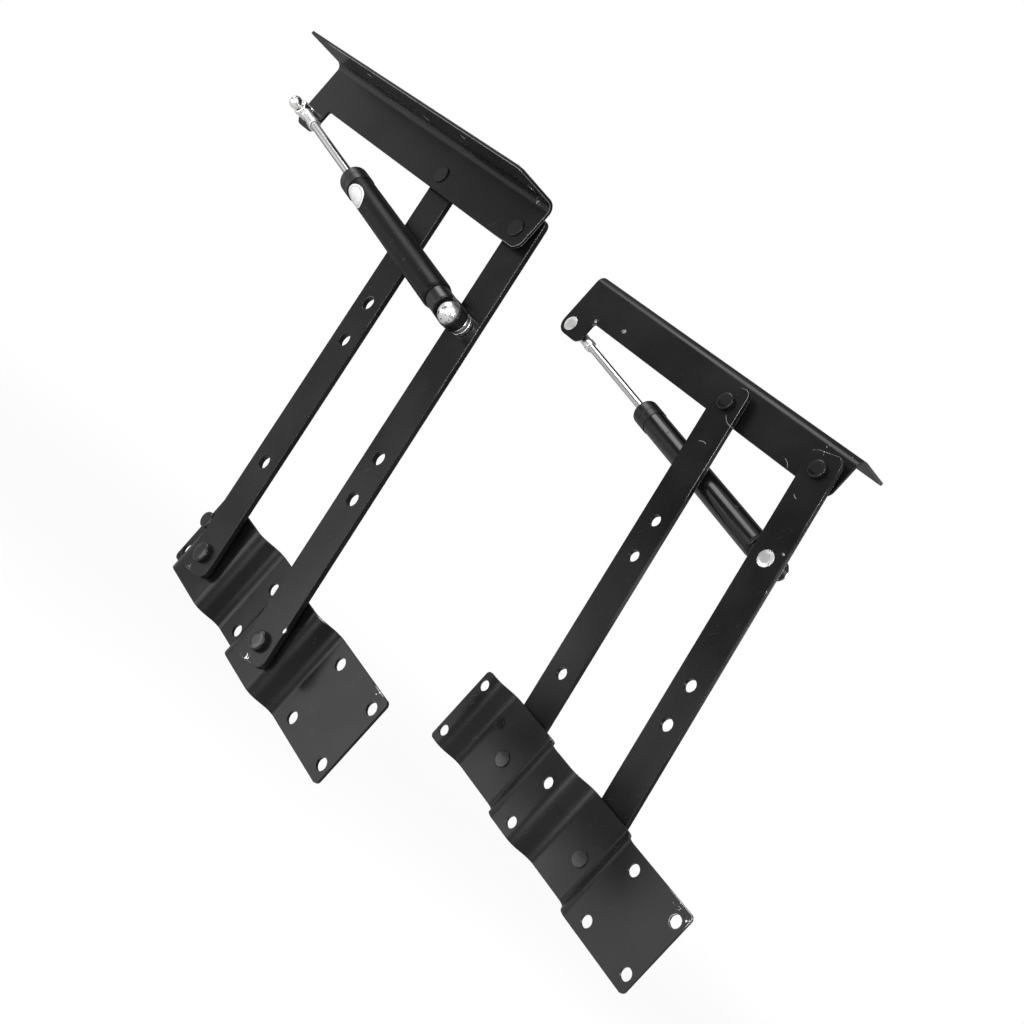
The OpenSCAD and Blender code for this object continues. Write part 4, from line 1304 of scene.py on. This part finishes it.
def make_camera():
    data = bpy.data.cameras.new("camera")
    data.sensor_fit = "HORIZONTAL"
    data.sensor_width = SENSOR
    data.lens = CAMERA_LENS
    data.clip_start = 0.02
    camera = linked("camera", data)
    roll = Matrix.Rotation(math.radians(CAMERA_ROLL), 4, "Z")
    camera.matrix_world = looking(CAMERA_AT, CAMERA_LOOKS_AT) @ roll
    bpy.context.scene.camera = camera


def background_rays(tree):
    """1 for rays that see the background: from the camera, and in metal or through glass."""
    rays = tree.nodes.new("ShaderNodeLightPath").outputs
    return rays["Is Camera Ray"], larger(tree, rays["Is Glossy Ray"], rays["Is Transmission Ray"])


def pale_floor_material():
    """Matt grey with a glow for the camera: it shows white but keeps a shadow, and fades at its rim."""
    material = bpy.data.materials.new("pale_floor")
    material.use_nodes = True
    tree = material.node_tree
    tree.nodes.remove(tree.nodes["Principled BSDF"])
    matt = tree.nodes.new("ShaderNodeBsdfDiffuse")
    matt.inputs["Color"].default_value = FLOOR_TONE
    glow = tree.nodes.new("ShaderNodeEmission")
    camera, mirrored = background_rays(tree)
    strength = plus(tree, times(tree, camera, FLOOR_GLOW), times(tree, mirrored, FLOOR_IN_METAL))
    tree.links.new(strength, glow.inputs["Strength"])
    both = tree.nodes.new("ShaderNodeAddShader")
    tree.links.new(matt.outputs[0], both.inputs[0])
    tree.links.new(glow.outputs[0], both.inputs[1])
    clear = tree.nodes.new("ShaderNodeBsdfTransparent")
    mix = tree.nodes.new("ShaderNodeMixShader")
    far = vector_value(tree, "LENGTH", object_place(tree))
    tree.links.new(ramp(tree, far, *FLOOR_FADE), mix.inputs["Fac"])
    tree.links.new(both.outputs[0], mix.inputs[1])
    tree.links.new(clear.outputs[0], mix.inputs[2])
    tree.links.new(mix.outputs[0], tree.nodes["Material Output"].inputs["Surface"])
    return material


def make_floor():
    """Level disc below the pair."""
    bm = bmesh.new()
    bmesh.ops.create_circle(bm, cap_ends=True, segments=TURN_STEPS, radius=FLOOR_R)
    mesh = bpy.data.meshes.new("floor")
    bm.to_mesh(mesh)
    bm.free()
    mesh.materials.append(pale_floor_material())
    floor = linked("floor", mesh)
    floor.location.z = CAD_BOX[0].z - FLOOR_DROP


def towards(tree, way, span):
    """1 for directions of the room close to one way, 0 for those far from it; span gives both cosines."""
    direction = tree.nodes.new("ShaderNodeTexCoord").outputs["Generated"]
    return ramp(tree, vector_value(tree, "DOT_PRODUCT", direction, way), *span)


def make_world():
    """Soft room, plain white to the camera; metal and gloss see a bright side with one dim screen in it."""
    world = bpy.data.worlds.new("soft_studio")
    bpy.context.scene.world = world
    world.use_nodes = True
    tree = world.node_tree
    camera, mirrored = background_rays(tree)
    bright = times(tree, towards(tree, BRIGHT_SIDE, BRIGHT_SPAN), 1 - DARK_LEVEL)
    screen = times(tree, towards(tree, SCREEN_SIDE, SCREEN_SPAN), SCREEN_DIM)
    room = times(tree, plus(tree, bright, DARK_LEVEL), minus(tree, 1.0, screen))
    others = minus(tree, 1.0, larger(tree, camera, mirrored))
    seen = plus(tree, camera, times(tree, mirrored, room))
    background = tree.nodes["Background"].inputs
    tree.links.new(plus(tree, seen, times(tree, others, SOFT_LEVEL)), background["Strength"])
    background["Color"].default_value = grey(1)


def make_lamp(name, at, size, power):
    """Square soft light that faces the middle of the pair."""
    data = bpy.data.lights.new(name, "AREA")
    data.shape = "SQUARE"
    data.size = size
    data.energy = power
    linked(name, data).matrix_world = looking(at, (CAD_BOX[0] + CAD_BOX[1]) / 2)


make_camera()
for hand_name in ("right", "left"):
    make_hand(hand_name, FINISHES)
make_floor()
make_world()
for lamp_name, (place, side, watts) in LAMPS.items():
    make_lamp(lamp_name, place, side, watts)

bpy.context.scene.view_settings.view_transform = "Standard"
